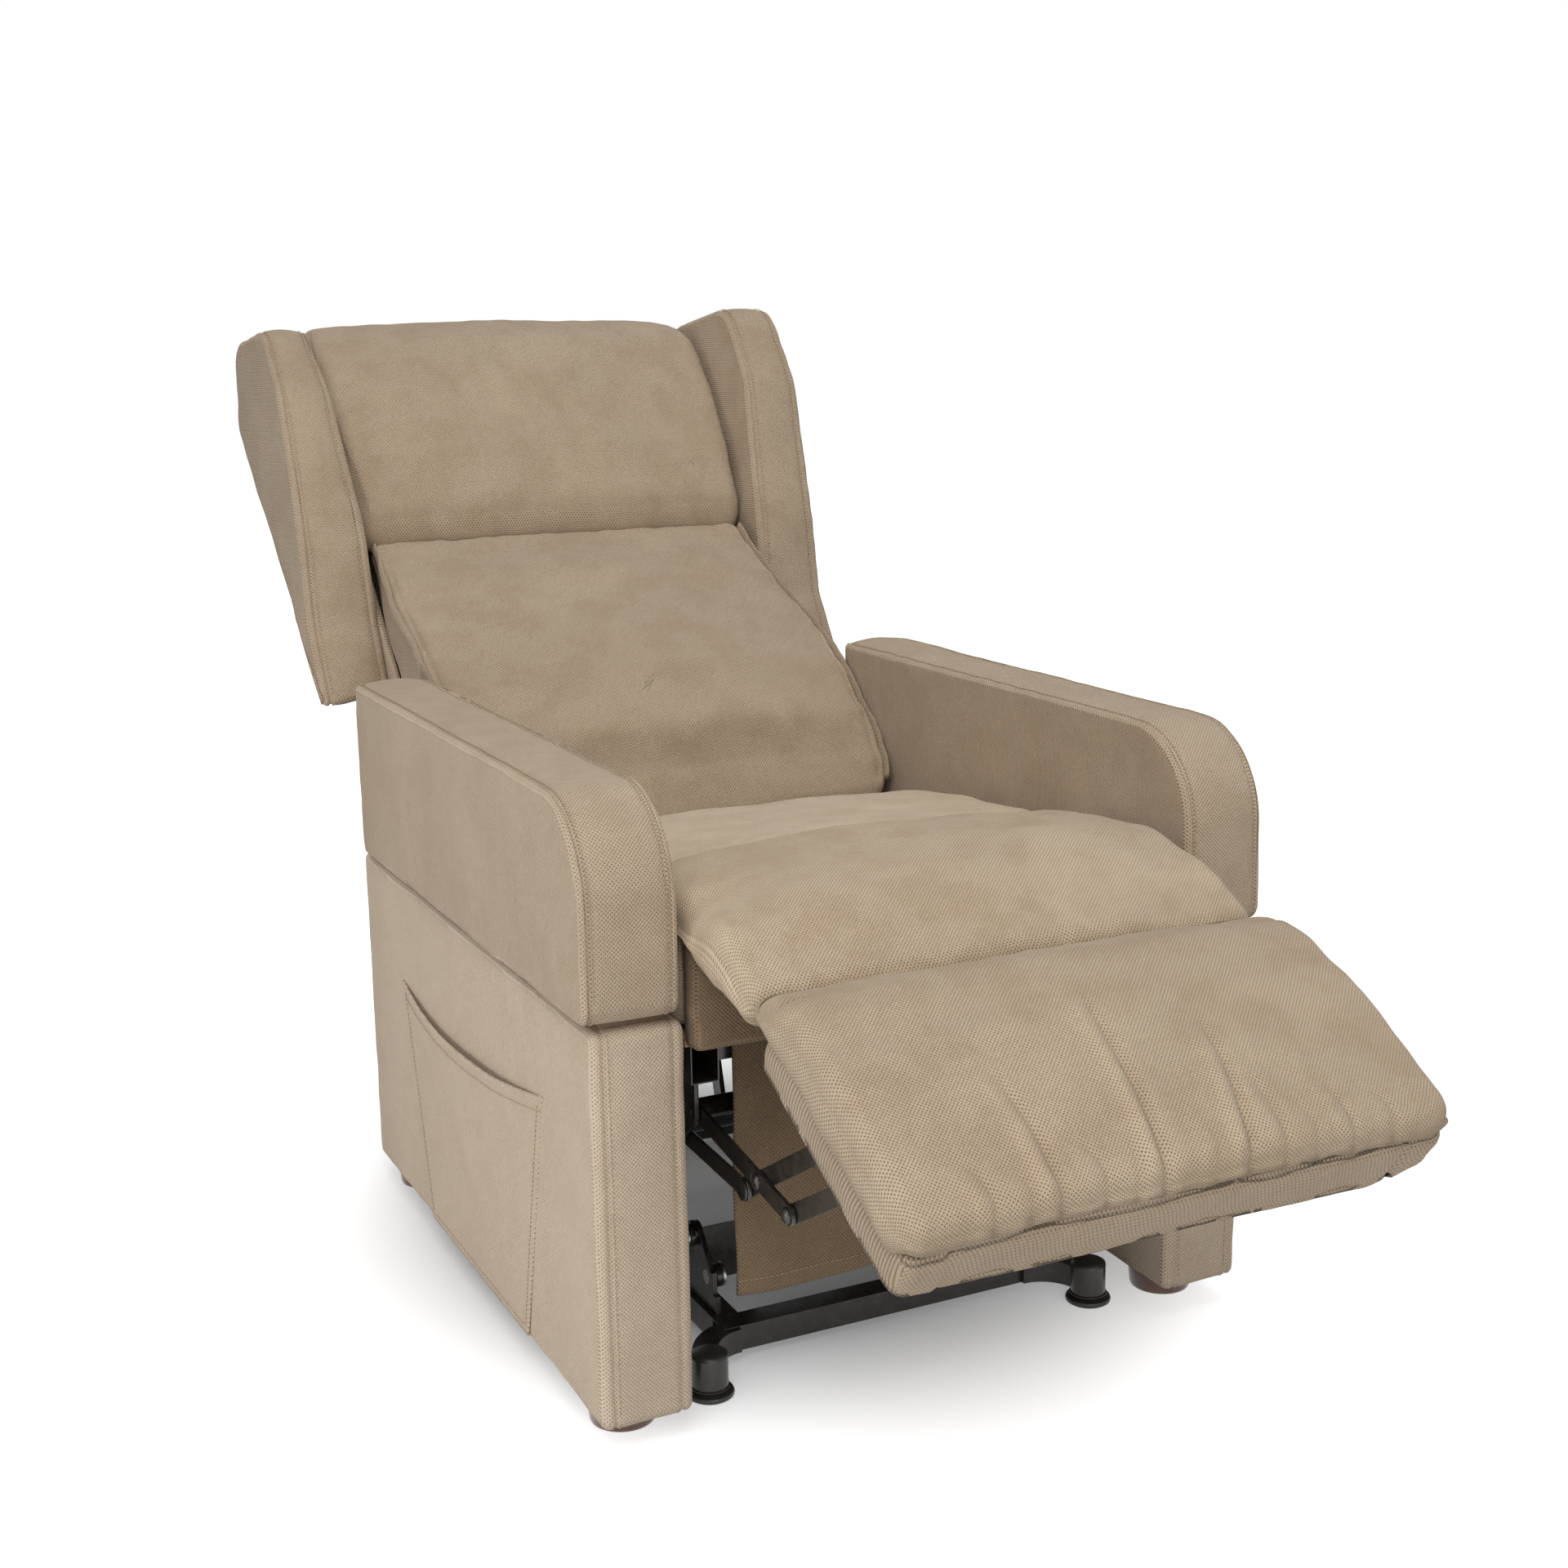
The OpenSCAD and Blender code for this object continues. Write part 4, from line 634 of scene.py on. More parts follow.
# Camera, floor and light
def camera():
    azimuth, height, roll = map(math.radians, (-25.7314, 12.1673, -0.8655))
    eye = Vector((-0.99304, -1.70569 + FRONT, 1.04796))
    back = Vector((math.sin(azimuth) * math.cos(height), -math.cos(azimuth) * math.cos(height),
                   math.sin(height)))
    right = (-back).cross(Vector((0, 0, 1))).normalized()
    up = right.cross(-back)
    c, s = math.cos(roll), math.sin(roll)
    m = Matrix((c * right + s * up, -s * right + c * up, back)).transposed().to_4x4()
    m.translation = eye
    cam = shown("camera", bpy.data.cameras.new("camera"))
    cam.matrix_world = m
    cam.data.lens, cam.data.sensor_width, cam.data.sensor_fit = 47.9595, 36, "AUTO"
    cam.data.clip_end = 60
    bpy.context.scene.camera = cam


def cleared(owner):
    owner.use_nodes = True
    owner.node_tree.nodes.clear()
    return Nodes(owner.node_tree)


def finish_tree(k, lit, seen, output):
    """The first shader gives the light, and the camera and mirrors see the second one."""
    path = k.add("LightPath").outputs
    direct = k.maths("MAXIMUM", path["Is Camera Ray"],
                     k.maths("MAXIMUM", path["Is Glossy Ray"], path["Is Transmission Ray"]))
    both = k.add("MixShader", {0: direct, 1: lit.outputs[0], 2: seen.outputs[0]})
    k.add(output, {0: both.outputs[0]})


def studio():
    sc = bpy.context.scene
    sc.view_settings.view_transform = "Standard"
    sc.world = bpy.data.worlds.new("studio")
    k = cleared(sc.world)
    finish_tree(k, k.add("Background", {"Color": (1, 0.99, 0.98, 1), "Strength": 0.28}),
                k.add("Background", {"Color": (1, 1, 1, 1)}), "OutputWorld")

    m = bpy.data.materials.new("pale_floor")
    k = cleared(m)
    # the floor glows white away from the chair, and the glow fades to almost none under it: a painted shadow
    # under the chair
    far = k.add("VectorMath", {0: k.add("TexCoord").outputs["Object"]}, operation="LENGTH").outputs["Value"]
    floor_glow_with_painted_shadow = k.add("Emission", {"Strength": k.span(far, 0.24, 0.78, 0.075, 1.0)})
    part = k.add("BsdfDiffuse", {"Color": (0.84, 0.86, 0.885, 1)})
    finish_tree(k, k.add("BsdfDiffuse", {"Color": (0.6, 0.6, 0.6, 1)}),
                k.add("AddShader", {0: part.outputs[0], 1: floor_glow_with_painted_shadow.outputs[0]}), "OutputMaterial")
    me = bpy.data.meshes.new("floor")
    s = 14                                              # metres from the middle to each edge
    me.from_pydata([(-s, -s, 0), (s, -s, 0), (s, s, 0), (-s, s, 0)], [], [(0, 1, 2, 3)])
    me.materials.append(m)
    shown("floor", me)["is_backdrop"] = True

    aim = Vector((0, 0, 0.5))
    for name, at, size, watts in (("low_left", (-2.3, -0.5, 0.29), 0.56, 12.4),
                                  ("high_left", (-1.8, -2.4, 3.4), 2.2, 54),
                                  ("front", (-0.5, -4.2, 1.0), 2.2, 44),
                                  ("top", (0.2, -0.2, 3.6), 2.6, 35)):
        lamp = bpy.data.lights.new(name, "AREA")
        lamp.shape, lamp.size, lamp.energy = "SQUARE", size, watts
        lamp.color = (1.0, 0.985, 0.965)
        o = shown(name, lamp)
        o.location = at
        o.rotation_euler = (aim - Vector(at)).to_track_quat("-Z", "Y").to_euler()


# Arms, panels and wings
def seam_lines(outline, put, across, off):
    """The sewn lines along a slab's band, as paths in space with their normals."""
    n = outline_normals(outline)
    out = []
    for c in across:
        on, above = (put(*(outline + n * d).T, np.full(len(n), float(c))) for d in (off, off + 1))
        out.append((on, above - on))
    return out


def mirrored(put, side):
    def flip(a, b, x):
        p = put(a, b, x)
        p[:, 0] *= side
        return p
    return flip


def nose(o, middle, half, rear, r):
    """Draws a slab in to its rounded rear end, in plan."""
    p = places(o)
    past = ease((p[:, 1] - rear + 90) / 90)
    p[:, 1] -= past * (p[:, 1].max() - rear)
    into = np.clip((p[:, 1] - rear + r) / r, 0, 1)
    share = (half - r + r * np.sqrt(1 - into ** 2)) / half
    p[:, 0] = np.sign(p[:, 0]) * (middle + (np.abs(p[:, 0]) - middle) * np.maximum(share, 0.12))
    set_places(o, p)


# seams: how far from the middle, and how far out; limits: the least x, and the range of z
ARM = dict(outline=filleted([(-8, 435), (802, 435), (802, 642), (-8, 642)], [16, 26, 30, 165]),
           spine=((150, 545), (690, 540)), middle=332, half=48, material=FABRIC, fill=0.9,
           rows=edge_rows(48, 332, edge=7, seam=8.5, crown=3.2, puff=(0.0, 2.6)),
           weigh=lambda q: ease((q[:, 1] - 450) / 60), limits=(ARM_ROOM, 434.0, np.inf), rear=(785, 46),
           layers=((0.9, 170, 11), (0.45, 46, 14)), seams=(37.6, 0.9))
PANEL = dict(outline=filleted([(0, 30), (822, 30), (822, 426), (0, 426)], [9, 9, 12, 12]),
             spine=((160, 228), (660, 228)), middle=323, half=47, material=FABRIC_SIDE, fill=1.0,
             rows=edge_rows(47, 323, edge=9, seam=12, crown=1.2, puff=(0.0, 2.2), groove=2.0),
             weigh=lambda q: ease((q[:, 1] - 60) / 60) * ease((410 - q[:, 1]) / 60),
             limits=(276.0, 30.0, 427.5), rear=(806, 24), layers=((0.9, 210, 21), (0.35, 50, 24)),
             seams=(30.6, 0.4))


def side_cover(name, node, side, word, put, outline, spine, middle, half, material, fill, rows, weigh, limits,
               rear, layers, seams):
    inner, bottom, top = limits

    def limit(p):
        p[:, 0] = np.sign(p[:, 0]) * np.maximum(np.abs(p[:, 0]), inner)
        p[:, 2] = np.clip(p[:, 2], bottom, top)
        return p
    o = slab(f"{name}_{word}", outline, spine, rows, put, material, weigh=weigh)
    nose(o, middle, half, *rear)
    rumple(o, *((amount, size, seed + side) for amount, size, seed in layers), limit=limit)
    place_piece(o, "seat", "upholstery", f"{node}_{word}", fill=fill)
    lines = seam_lines(outline, put, (middle - seams[0], middle + seams[0]), seams[1])
    stitches(f"{name}_stitching_{word}", [lie_on(o, line, 0.3) for line, _ in lines])


def arms_and_panels():
    # the covered plinth that carries the arm, set back under it; its cloth is painted dark, as painted shade
    # in the gap between the arm and the panel
    plinth = filleted([(14, 420), (794, 420), (794, 436), (14, 436)], [2, 2, 2, 2], 6)
    plinth_rows = [(1, -1, 290), (0, -1, 290), (0, 0, 291), (0, 0, 355), (0, -1, 356), (1, -1, 356)]
    for side, word in SIDES:
        put = mirrored(lambda a, b, x: xyz(x, a, b), side)
        side_cover("arm", "arm_pad", side, word, put, **ARM)
        side_cover("panel", "side_panel", side, word, put, **PANEL)
        o = slab(f"arm_plinth_{word}", plinth, ((30, 428), (780, 428)), plinth_rows, put, SEAM_SHADE)
        place_piece(o, "seat", "upholstery")


# how far the wings' inner faces lean outwards at their tops' front
LEAN = {1: 16, -1: 30}
WING = [(288, -47), (846, -105), (912, -18), (898, 26), (806, 146), (690, 134), (600, 92), (500, 40),
        (418, -18)]
WING_RADII = [4, 34, 40, 50, 60, 90, 90, 90, 60]
# the two wings are not padded quite alike at their tops
WING_RISE = np.array([[0, 0], [0, 0], [0, 0], [6, 6], [8, 12], [0, 8], [0, 3], [0, 0], [0, 0]])
WING_THICK, WING_OUTSIDE = 94, 384


def leaning(lean, d, n):
    return lean * np.clip((n + 30) / 160, 0, 1) * np.clip((d - 380) / 380, 0, 1)


def wings():
    for side, word in SIDES:
        def put(a, b, x):
            # x runs from the inner face to the outer face; the lower tip is cut obliquely
            lean = leaning(LEAN[side], a, b)
            return from_back(WING_FACE + lean + (WING_THICK - lean) * x / WING_THICK,
                             a + 22 * (1 - x / WING_THICK) * ease((400 - a) / 90), b)

        def limit(p):
            p[:, 0] = np.sign(p[:, 0]) * np.clip(np.abs(p[:, 0]), WING_FACE + 0.3, WING_OUTSIDE)
            return p
        put = mirrored(put, side)
        half, seam = WING_THICK / 2, 32.2
        outline = filleted(np.array(WING, float) + WING_RISE * (1 if side > 0 else -0.8), WING_RADII)
        rows = edge_rows(half, half, edge=9, seam=11, crown=3.5, puff=(1.0, 3.0))
        o = slab(f"wing_cover_{word}", outline, ((480, -52), (800, 10)), rows, put, FABRIC_BACK)
        rumple(o, (1.2, 150, 31 + side), (0.5, 44, 34 + side), limit=limit)
        place_piece(o, "back", "upholstery", f"wing_{word}", fill=0.9)
        stitches(f"wing_stitching_{word}", seam_lines(outline, put, (half - seam, half + seam), 1.6), "back")


# The back's tray, the fascia and the footrest board
def tray():
    outline = filleted([(-254, 24), (254, 24), (254, 312), (281, 318), (281, 846), (-281, 846), (-281, 318),
                        (-254, 312)], [14, 14, 10, 10, 26, 26, 10, 10], 6)
    rows = face_rows(-98, 9, 5, (90, 65, 40, 15))
    # the sewn line, the swelling band, the rim in front and the way back down inside it
    rows += [(0, -0.4, -86.5), (0, -1.8, -85), (0, -0.4, -83.5), (0, 0.3, -70), (0, 0.6, -55), (0, 0.3, -40),
             (0, 0, -24), (0, -1.2, -20.6), (0, -4, -20.3), (0, -8, -20.6), (0, -9.5, -24), (0, -9.8, -50),
             (0, -10, -86), (0.3, -10, -88), (1.0, -10, -88)]
    o = slab("back_cover", outline, ((0, 260), (0, 620)), rows, from_back, FABRIC_BACK)
    rumple(o, (0.5, 120, 41))
    place_piece(o, "back", "upholstery", "back_panel", "back_boards")
    stitches("back_cover_stitching", seam_lines(outline, from_back, (-82.0,), 0.6), "back")


def fascia():
    outline = filleted([(-268, 392), (268, 392), (268, 499), (-268, 499)], [8, 8, 10, 10], 5)
    rows = face_rows(0.6, 7, 3.6, (90, 60, 30)) + [(0, 0, 10), (0, 0, 21), (0, -1, 22), (1, -1, 22)]
    o = slab("fascia_cover", outline, ((-180, 445), (180, 445)), rows, lambda a, b, y: xyz(a, y, b),
             FABRIC_DARK)
    p = places(o)
    front = np.clip((12 - p[:, 1]) / 12, 0, 1)
    p[:, 1] += front * 1.6 * np.sin(p[:, 0] * 0.05 + p[:, 2] * 0.09)
    p[:, 1] += front * wobble(p, 60, 52) * 1.2
    set_places(o, p)
    place_piece(o, "seat", "upholstery", "seat_fascia", fill=0.8)


def front_rise(x):
    """How the seam between the board and its pillow rises along the front, and at the folded corners."""
    return 6 * np.sin((x + 270) / 540 * math.pi) + 5 * ease((x - 180) / 80) - 5 * ease((-x - 190) / 70)


def board():
    """The footrest's padded board: its front rises to the pillow's seam, and is folded at both corners."""
    outline = filleted([(-270, 0), (270, 0), (270, 270), (-270, 270)], [14, 14, 12, 12], 4)
    rows = edge_rows(17, -17, edge=7, seam=0.1, crown=1.5, puff=(0.0, 0.0), groove=0.0, steps=7)
    o = slab("footrest_cover", outline, ((-130, 135), (130, 135)), rows, from_board, FABRIC_BOARD,
             both_faces=True, heights=[r[2] for r in rows])
    x, s, t = to_board(places(o))
    high = ease((t + 26) / 20)
    front = ease((s - 244) / 18)
    s = s + front * (1.5 * np.cos(x / 270 * math.pi) - 3.0 * (1 - high) - 5.0 * ease((t + 7) / 6))
    t = t + front * high * (13 + front_rise(x))
    t = t + front * (1 - high) * (1 + 3 * np.sin(x * 0.017 + 1.2) + 20 * ease((x - 200) / 66))
    # the folded corners: a flat flap with a standing edge
    for side, fold in ((-1, 232), (1, 226)):
        out = side * x - fold
        flap = 2.4 * ease((out + 1) / 2.5) * ease((60 - out) / 30)
        s = s + front * (flap - 1.6 * near_line(out, -1.5, 2.2))
    s = s - front * ease((x - 250) / 20) * 5
    set_places(o, from_board(x, s, t))
    rumple(o, (0.8, 90, 61), (0.3, 30, 62))
    ribbed_sides(o)
    place_piece(o, "footrest", "upholstery", "footrest_board", fill=1.0)


def ribbed_sides(o):
    """The cover's two long sides show the weave edge on, as ribs."""
    me, ribs = o.data, 2
    me.materials.append(FABRIC_RIB)
    slots = read(me.polygons, "material_index", 1, np.int32)
    slots[(np.abs(read(me.polygons, "normal", 3)[:, 0]) > 0.8) & (slots == 0)] = ribs
    me.polygons.foreach_set("material_index", slots)
    vi = read(me.loops, "vertex_index", 1, np.int32)
    layer = me.uv_layers["weave"].data
    uv = read(layer, "uv", 2)
    _, s, t = to_board(places(o))
    which = np.repeat(slots, read(me.polygons, "loop_total", 1, np.int32)) == ribs
    uv[which] = np.stack([t[vi], s[vi]], -1)[which] / 1000
    layer.foreach_set("uv", uv.ravel())


# Cushions
LAST_FRAME = 18


def cloth_copy(o, voxel, pins):
    """A coarse copy of a cushion as cloth under pressure, held where pins says, and its first places."""
    c = shown(o.name + "_cloth", o.data.copy())
    with_modifier(c, "REMESH", mode="VOXEL", voxel_size=voxel / 1000)
    with_modifier(c, "SMOOTH", factor=0.5, iterations=2)
    baked(c)
    start = places(c)
    weight = pins(start)
    g = c.vertex_groups.new(name="sewn")
    for level in (0.25, 0.5, 0.75, 1.0):
        g.add(np.where((weight > level - 0.25) & (weight <= level))[0].tolist(), level, "REPLACE")
    m = with_modifier(c, "CLOTH")
    for k, v in dict(quality=4, mass=0.25, tension_stiffness=15, compression_stiffness=15, shear_stiffness=6,
                     bending_stiffness=0.35, shrink_min=-0.012, use_pressure=True, uniform_pressure_force=4.0,
                     vertex_group_mass="sewn", pin_stiffness=1.0).items():
        setattr(m.settings, k, v)
    m.settings.effector_weights.gravity = 0.15
    m.collision_settings.use_collision = False
    m.point_cache.frame_start, m.point_cache.frame_end = 1, LAST_FRAME
    return c, start


def swell(pads):
    """Runs the cloth of all cushions together, and swells each one by what its cloth rose, up to a cap."""
    copies = [cloth_copy(o, voxel, pins) for o, voxel, pins, cap in pads]
    for f in range(1, LAST_FRAME + 1):
        bpy.context.scene.frame_set(f)
    for (o, _, _, cap), (c, start) in zip(pads, copies):
        n0 = normals(c)
        baked(c)
        rise = ((places(c) - start) * n0).sum(1)
        edges = read(c.data.edges, "vertices", 2, np.int32)
        # the rise is evened out between neighbours, three times over
        for _ in range(3):
            total, count = rise.copy(), np.ones(len(rise))
            np.add.at(total, edges[:, 0], rise[edges[:, 1]])
            np.add.at(total, edges[:, 1], rise[edges[:, 0]])
            np.add.at(count, edges.ravel(), 1)
            rise = total / count
        rise = np.where(rise > 0, 1, 0.35) * cap * np.tanh(rise / cap)
        # each place of the cushion rises by the mean of the four nearest places of the cloth
        tree = tree_of(start)
        p = places(o)
        up = np.empty(len(p))
        for i, q in enumerate(p):
            found = tree.find_n(q, 4)
            w = np.array([1 / (d + 1.0) for _, _, d in found])
            up[i] = (w * rise[[j for _, j, _ in found]]).sum() / w.sum()
        set_places(o, p + normals(o) * up[:, None])
        bpy.data.objects.remove(c)
    bpy.context.scene.frame_set(1)


SEAT_EDGE = np.array([(20, 499), (150, 512), (255, 510), (392, 499), (528, 483), (570, 476)])


def seat_pad():
    half, rear = 274, 568
    outline = filleted([(-half, FASCIA_REAR), (half, FASCIA_REAR), (half, rear), (-half, rear)],
                       [26, 26, 40, 40], 5)
    low = lambda x, y: np.full(len(x), SEAT_UNDERSIDE)

    def high(x, y):
        crown = 18 * dome(x, half, 0.5) * ease((y - 60) / 150) * ease((576 - y) / 110)
        return np.interp(y, *SEAT_EDGE.T) + crown
    return pad("seat_cushion_cover", outline, ((-110, 295), (110, 295)), low, high, xyz, 12, 24, 88,
               FABRIC_SEAT, bulge=3.0, top=44)


def seat_pins(p):
    x, y, z = p.T
    return np.clip(near_line(np.abs(x), 272, 8) + near_line(y, 24, 10) + ease((y - 505) / 30) + (z < 415)
                   + (y < 150), 0, 1)


def finish_seat(o):
    rumple(o, (1.5, 170, 71), (0.5, 60, 72))
    for side in (-1, 1):
        line, _ = lie_on(o, xyz(side * 262.0, np.linspace(40, 540, 90), 510.0))
        groove(o, [(line, 1.0)], 3.2, 2.4)
    # it stays clear of the arms, the fascia and the webbing
    x, y, z = places(o).T
    wide = ARM_ROOM - 0.6
    set_places(o, xyz(np.clip(x, -wide, wide), np.clip(y, FASCIA_REAR - 0.3, 572),
                      np.maximum(z, SEAT_UNDERSIDE - 0.2)))
    place_piece(o, "seat", "upholstery", "seat_cushion", fill=0.7)


# height of the leg bridge's side edges, from the photograph: (y, z at the left, z at the right)
BRIDGE_EDGE = np.array([(-160, 478, 482), (-139, 488, 491), (-111, 502, 501), (-85, 515, 511),
                        (-67, 522, 516), (-45, 525, 521), (-5, 524, 527), (25, 526, 529), (55, 529, 528),
                        (99, 530, 526), (145, 523, 519), (175, 513, 512)], float)


def bridge_pad():
    outline = filleted([(-273, -141), (273, -141), (273, 172), (-273, 172)], [20, 20, 16, 16], 5)

    def high(x, y):
        left, right = (np.interp(y, BRIDGE_EDGE[:, 0], BRIDGE_EDGE[:, i]) for i in (1, 2))
        share = ease((x + 276) / 552)
        crown = 29 * ease((y + 150) / 170) * ease((182 - y) / 60) + 6
        return (left * (1 - share) + right * share + dome(x, 276, 0.48) * crown
                + 2.5 * np.sin(x * 0.019 + 0.6) * ease((20 - y) / 120))

    def low(x, y):
        return np.interp(y, [-160, -140, -60, -8, 0], [452, 458, 472, 492, FASCIA_TOP])
    return pad("leg_bridge_cover", outline, ((-200, 16), (200, 16)), low, high, xyz, 7, 15, 34, FABRIC_TOP,
               bulge=5.0, top=30)


def bridge_pins(p):
    x, y, z = p.T
    return np.clip(near_line(y, -138, 9) + near_line(y, 168, 9) + near_line(np.abs(x), 272, 7)
                   + (z < 501) * (y > -20), 0, 1)


def finish_bridge(o):
    rumple(o, (1.3, 110, 75), (0.5, 38, 76))
    x, y, z = places(o).T
    # soft puckers where the cloth is gathered into the seam with the pillow, and folds at the ends
    gathered = ease((-96 - y) / 40) * (z > 470)
    puckers = 1.3 * np.sin(x * 0.10 + 1.0) + 0.8 * np.sin(x * 0.23)
    z = z + gathered * puckers * (0.6 + 0.4 * np.sin(x * 0.013))
    end = ease((np.abs(x) - 210) / 60)
    z = z + end * 2.2 * np.sin((y - 0.5 * np.abs(x)) * 0.055) * ease((60 - y) / 60)
    # it lies between the arms, on the fascia
    wide = ARM_ROOM - 0.8
    x = np.where(y > -12, np.clip(x, -wide, wide), x)
    set_places(o, xyz(x, y, np.maximum(z, np.where((y > -2) & (y < 176), FASCIA_TOP - 0.1, 0))))
    lines = []
    q = np.linspace(0, 1, 30)
    for x0, x1, y0, y1, deep in ((-262, -214, -128, -92, 1.0), (-268, -236, -96, -58, 0.7),
                                 (250, 206, -126, -96, 0.8), (-30, -46, -134, -98, 0.5),
                                 (96, 80, -134, -104, 0.45), (-140, -150, -134, -112, 0.4)):
        line, _ = lie_on(o, xyz(x0 + (x1 - x0) * q, y0 + (y1 - y0) * q, 540.0))
        lines.append((line, deep * (1 - q) ** 0.6))
    groove(o, lines, 4.5, 3.2, 1.5)
    place_piece(o, "seat", "upholstery", "leg_bridge", fill=0.6)


# pleats of the footrest pillow, from the photograph: (x, s) at the front seam and at the far end, and depth
PLEATS = [((-42, 270), (-24, 84), 1.0), ((-138, 270), (-146, 140), 0.8), ((44, 270), (70, 130), 0.95),
          ((80, 270), (80, 200), 0.5), ((-200, 270), (-206, 226), 0.55), ((152, 270), (147, 214), 0.45),
          ((-96, 270), (-106, 222), 0.4), ((198, 270), (190, 230), 0.35), ((114, 270), (106, 226), 0.3),
          ((-68, 270), (-66, 236), 0.35), ((8, 270), (14, 240), 0.3), ((-166, 270), (-172, 240), 0.35)]
# height of the pillow's side edges: (s, t)
FOOT_EDGE = np.array([(-34, 12), (-16, 24), (10, 37), (45, 46), (100, 50), (165, 46), (219, 43), (250, 42),
                      (275, 42)])


def foot_pad():
    outline = filleted([(-275, -30), (275, -30), (275, 271), (-275, 271)], [26, 26, 30, 26], 3.2)

    def low(x, s):
        return 0.5 + ease((s - 246) / 18) * (15 + front_rise(x)) + 6 * ease((6 - s) / 30)

    def high(x, s):
        crown = 21 * dome(x, 278, 0.7) * ease((s + 30) / 60) * (0.55 + 0.45 * ease((282 - s) / 90))
        return np.interp(s, *FOOT_EDGE.T) + crown
    return pad("footrest_pillow_cover", outline, ((-150, 120), (150, 120)), low, high, from_board, 4, 17, 44,
               FABRIC_FOOT, bulge=3.5, top=56)


def foot_pins(p):
    x, s, t = to_board(p)
    return np.clip(near_line(t, 4, 7) + near_line(s, 268, 8) * (t < 34) + near_line(s, -26, 8), 0, 1)


def finish_foot(o):
    rumple(o, (1.3, 130, 81), (0.5, 42, 82))
    # a pleat is a ridge that falls off steeply into a crease on its right
    x, s, t = to_board(places(o))
    nap_and_painted_shading = np.zeros(len(x))
    for (x0, s0), (x1, s1), deep in PLEATS:
        q = np.clip((s0 - s) / max(s0 - s1, 1), 0, 1)
        u = x - (x0 + (x1 - x0) * q + 5 * np.sin(q * 3))
        fade = (1 - q) ** 0.38 * ease((t - 16) / 14) * (0.55 + 0.45 * ease((s0 + 6 - s) / 24)) * (s > s1)
        t = t + 6.0 * deep * fade * (near_line(u, -9 - 3 * q, 9) - 1.25 * near_line(u, 1.5, 4.2)
                                     + 0.35 * near_line(u, 15, 9))
        # painted light on the flank left of each crease, and painted shade in the crease
        nap_and_painted_shading += deep ** 0.5 * fade * (0.55 * near_line(u, -14, 8) - 0.85 * near_line(u, 0.5, 3.6)
                                     + 0.25 * near_line(u, 9, 5))
    # painted light and shade of the pleats, with painted shade low on the pillow's front band
    paint_shading(o, nap_and_painted_shading - 0.5 * near_line(s, 276, 7) * (t < 34) * (t > 8))
    # the gathered front seam, and the soft tucks at the rear corners
    seam = ease((s - 244) / 24) * (t > 22)
    s = s + seam * (0.9 * np.sin(x * 0.09) + 0.6 * np.sin(x * 0.21 + 1))
    set_places(o, from_board(np.clip(x, -281, 281), s, np.maximum(t, 0.4)))
    q = np.linspace(0, 1, 30)
    deep = np.sin(q * math.pi) ** 0.5
    tucks = [(lie_on(o, from_board(side * (236 + over * q), -22 + down * q, 60 - 34 * q))[0], share * deep)
             for side, over, down, share in ((-1, 36, 34, 1.0), (1, 34, 26, 0.6))]
    groove(o, tucks, 4.5, 4.5)
    place_piece(o, "footrest", "upholstery", "footrest_pillow", fill=0.75)


# the lumbar pad's side edge: (d, half width) and (d, n), from the photograph
LUMBAR_HALF = np.array([(-20, 262), (20, 274), (75, 278), (130, 281), (200, 280), (350, 275), (500, 268),
                        (540, 268)], float)
LUMBAR_EDGE = np.array([(-24, 104), (0, 118), (60, 123), (198, 112), (300, 78), (382, 46), (470, 22),
                        (530, 9), (545, 7)], float)


def lumbar_half(d):
    return np.interp(d, *LUMBAR_HALF.T)


def lumbar_edge(d):
    return np.interp(d, *LUMBAR_EDGE.T)


def lumbar_pad():
    right = [(262, -20)] + [(h, d) for d, h in LUMBAR_HALF[1:-1]] + [(268, 533)]
    radii = [30] + [60] * 6 + [17]
    outline = filleted(right + [(-h, d) for h, d in right[::-1]], radii + radii[::-1], 5)
    low = lambda x, d: BACK_FACE + 44 * ease((40 - d) / 60)

    def high(x, d):
        crown = 36 * (0.1 + 0.9 * ease((d - 46) / 64)) * ease((560 - d) / 170)
        return lumbar_edge(d) + crown * dome(x, 282, 0.7)
    return pad("lumbar_pad_cover", outline, ((0, 180), (0, 340)), low, high, from_back, 8, 10, 90,
               FABRIC_BACK, bulge=0.8, top=52)


def lumbar_pins(p):
    x, d, n = to_back(p)
    return np.clip(near_line(np.abs(x), lumbar_half(d) - 4, 9) + (n < -12) + near_line(d, 531, 9)
                   + ease((84 - d) / 40), 0, 1)


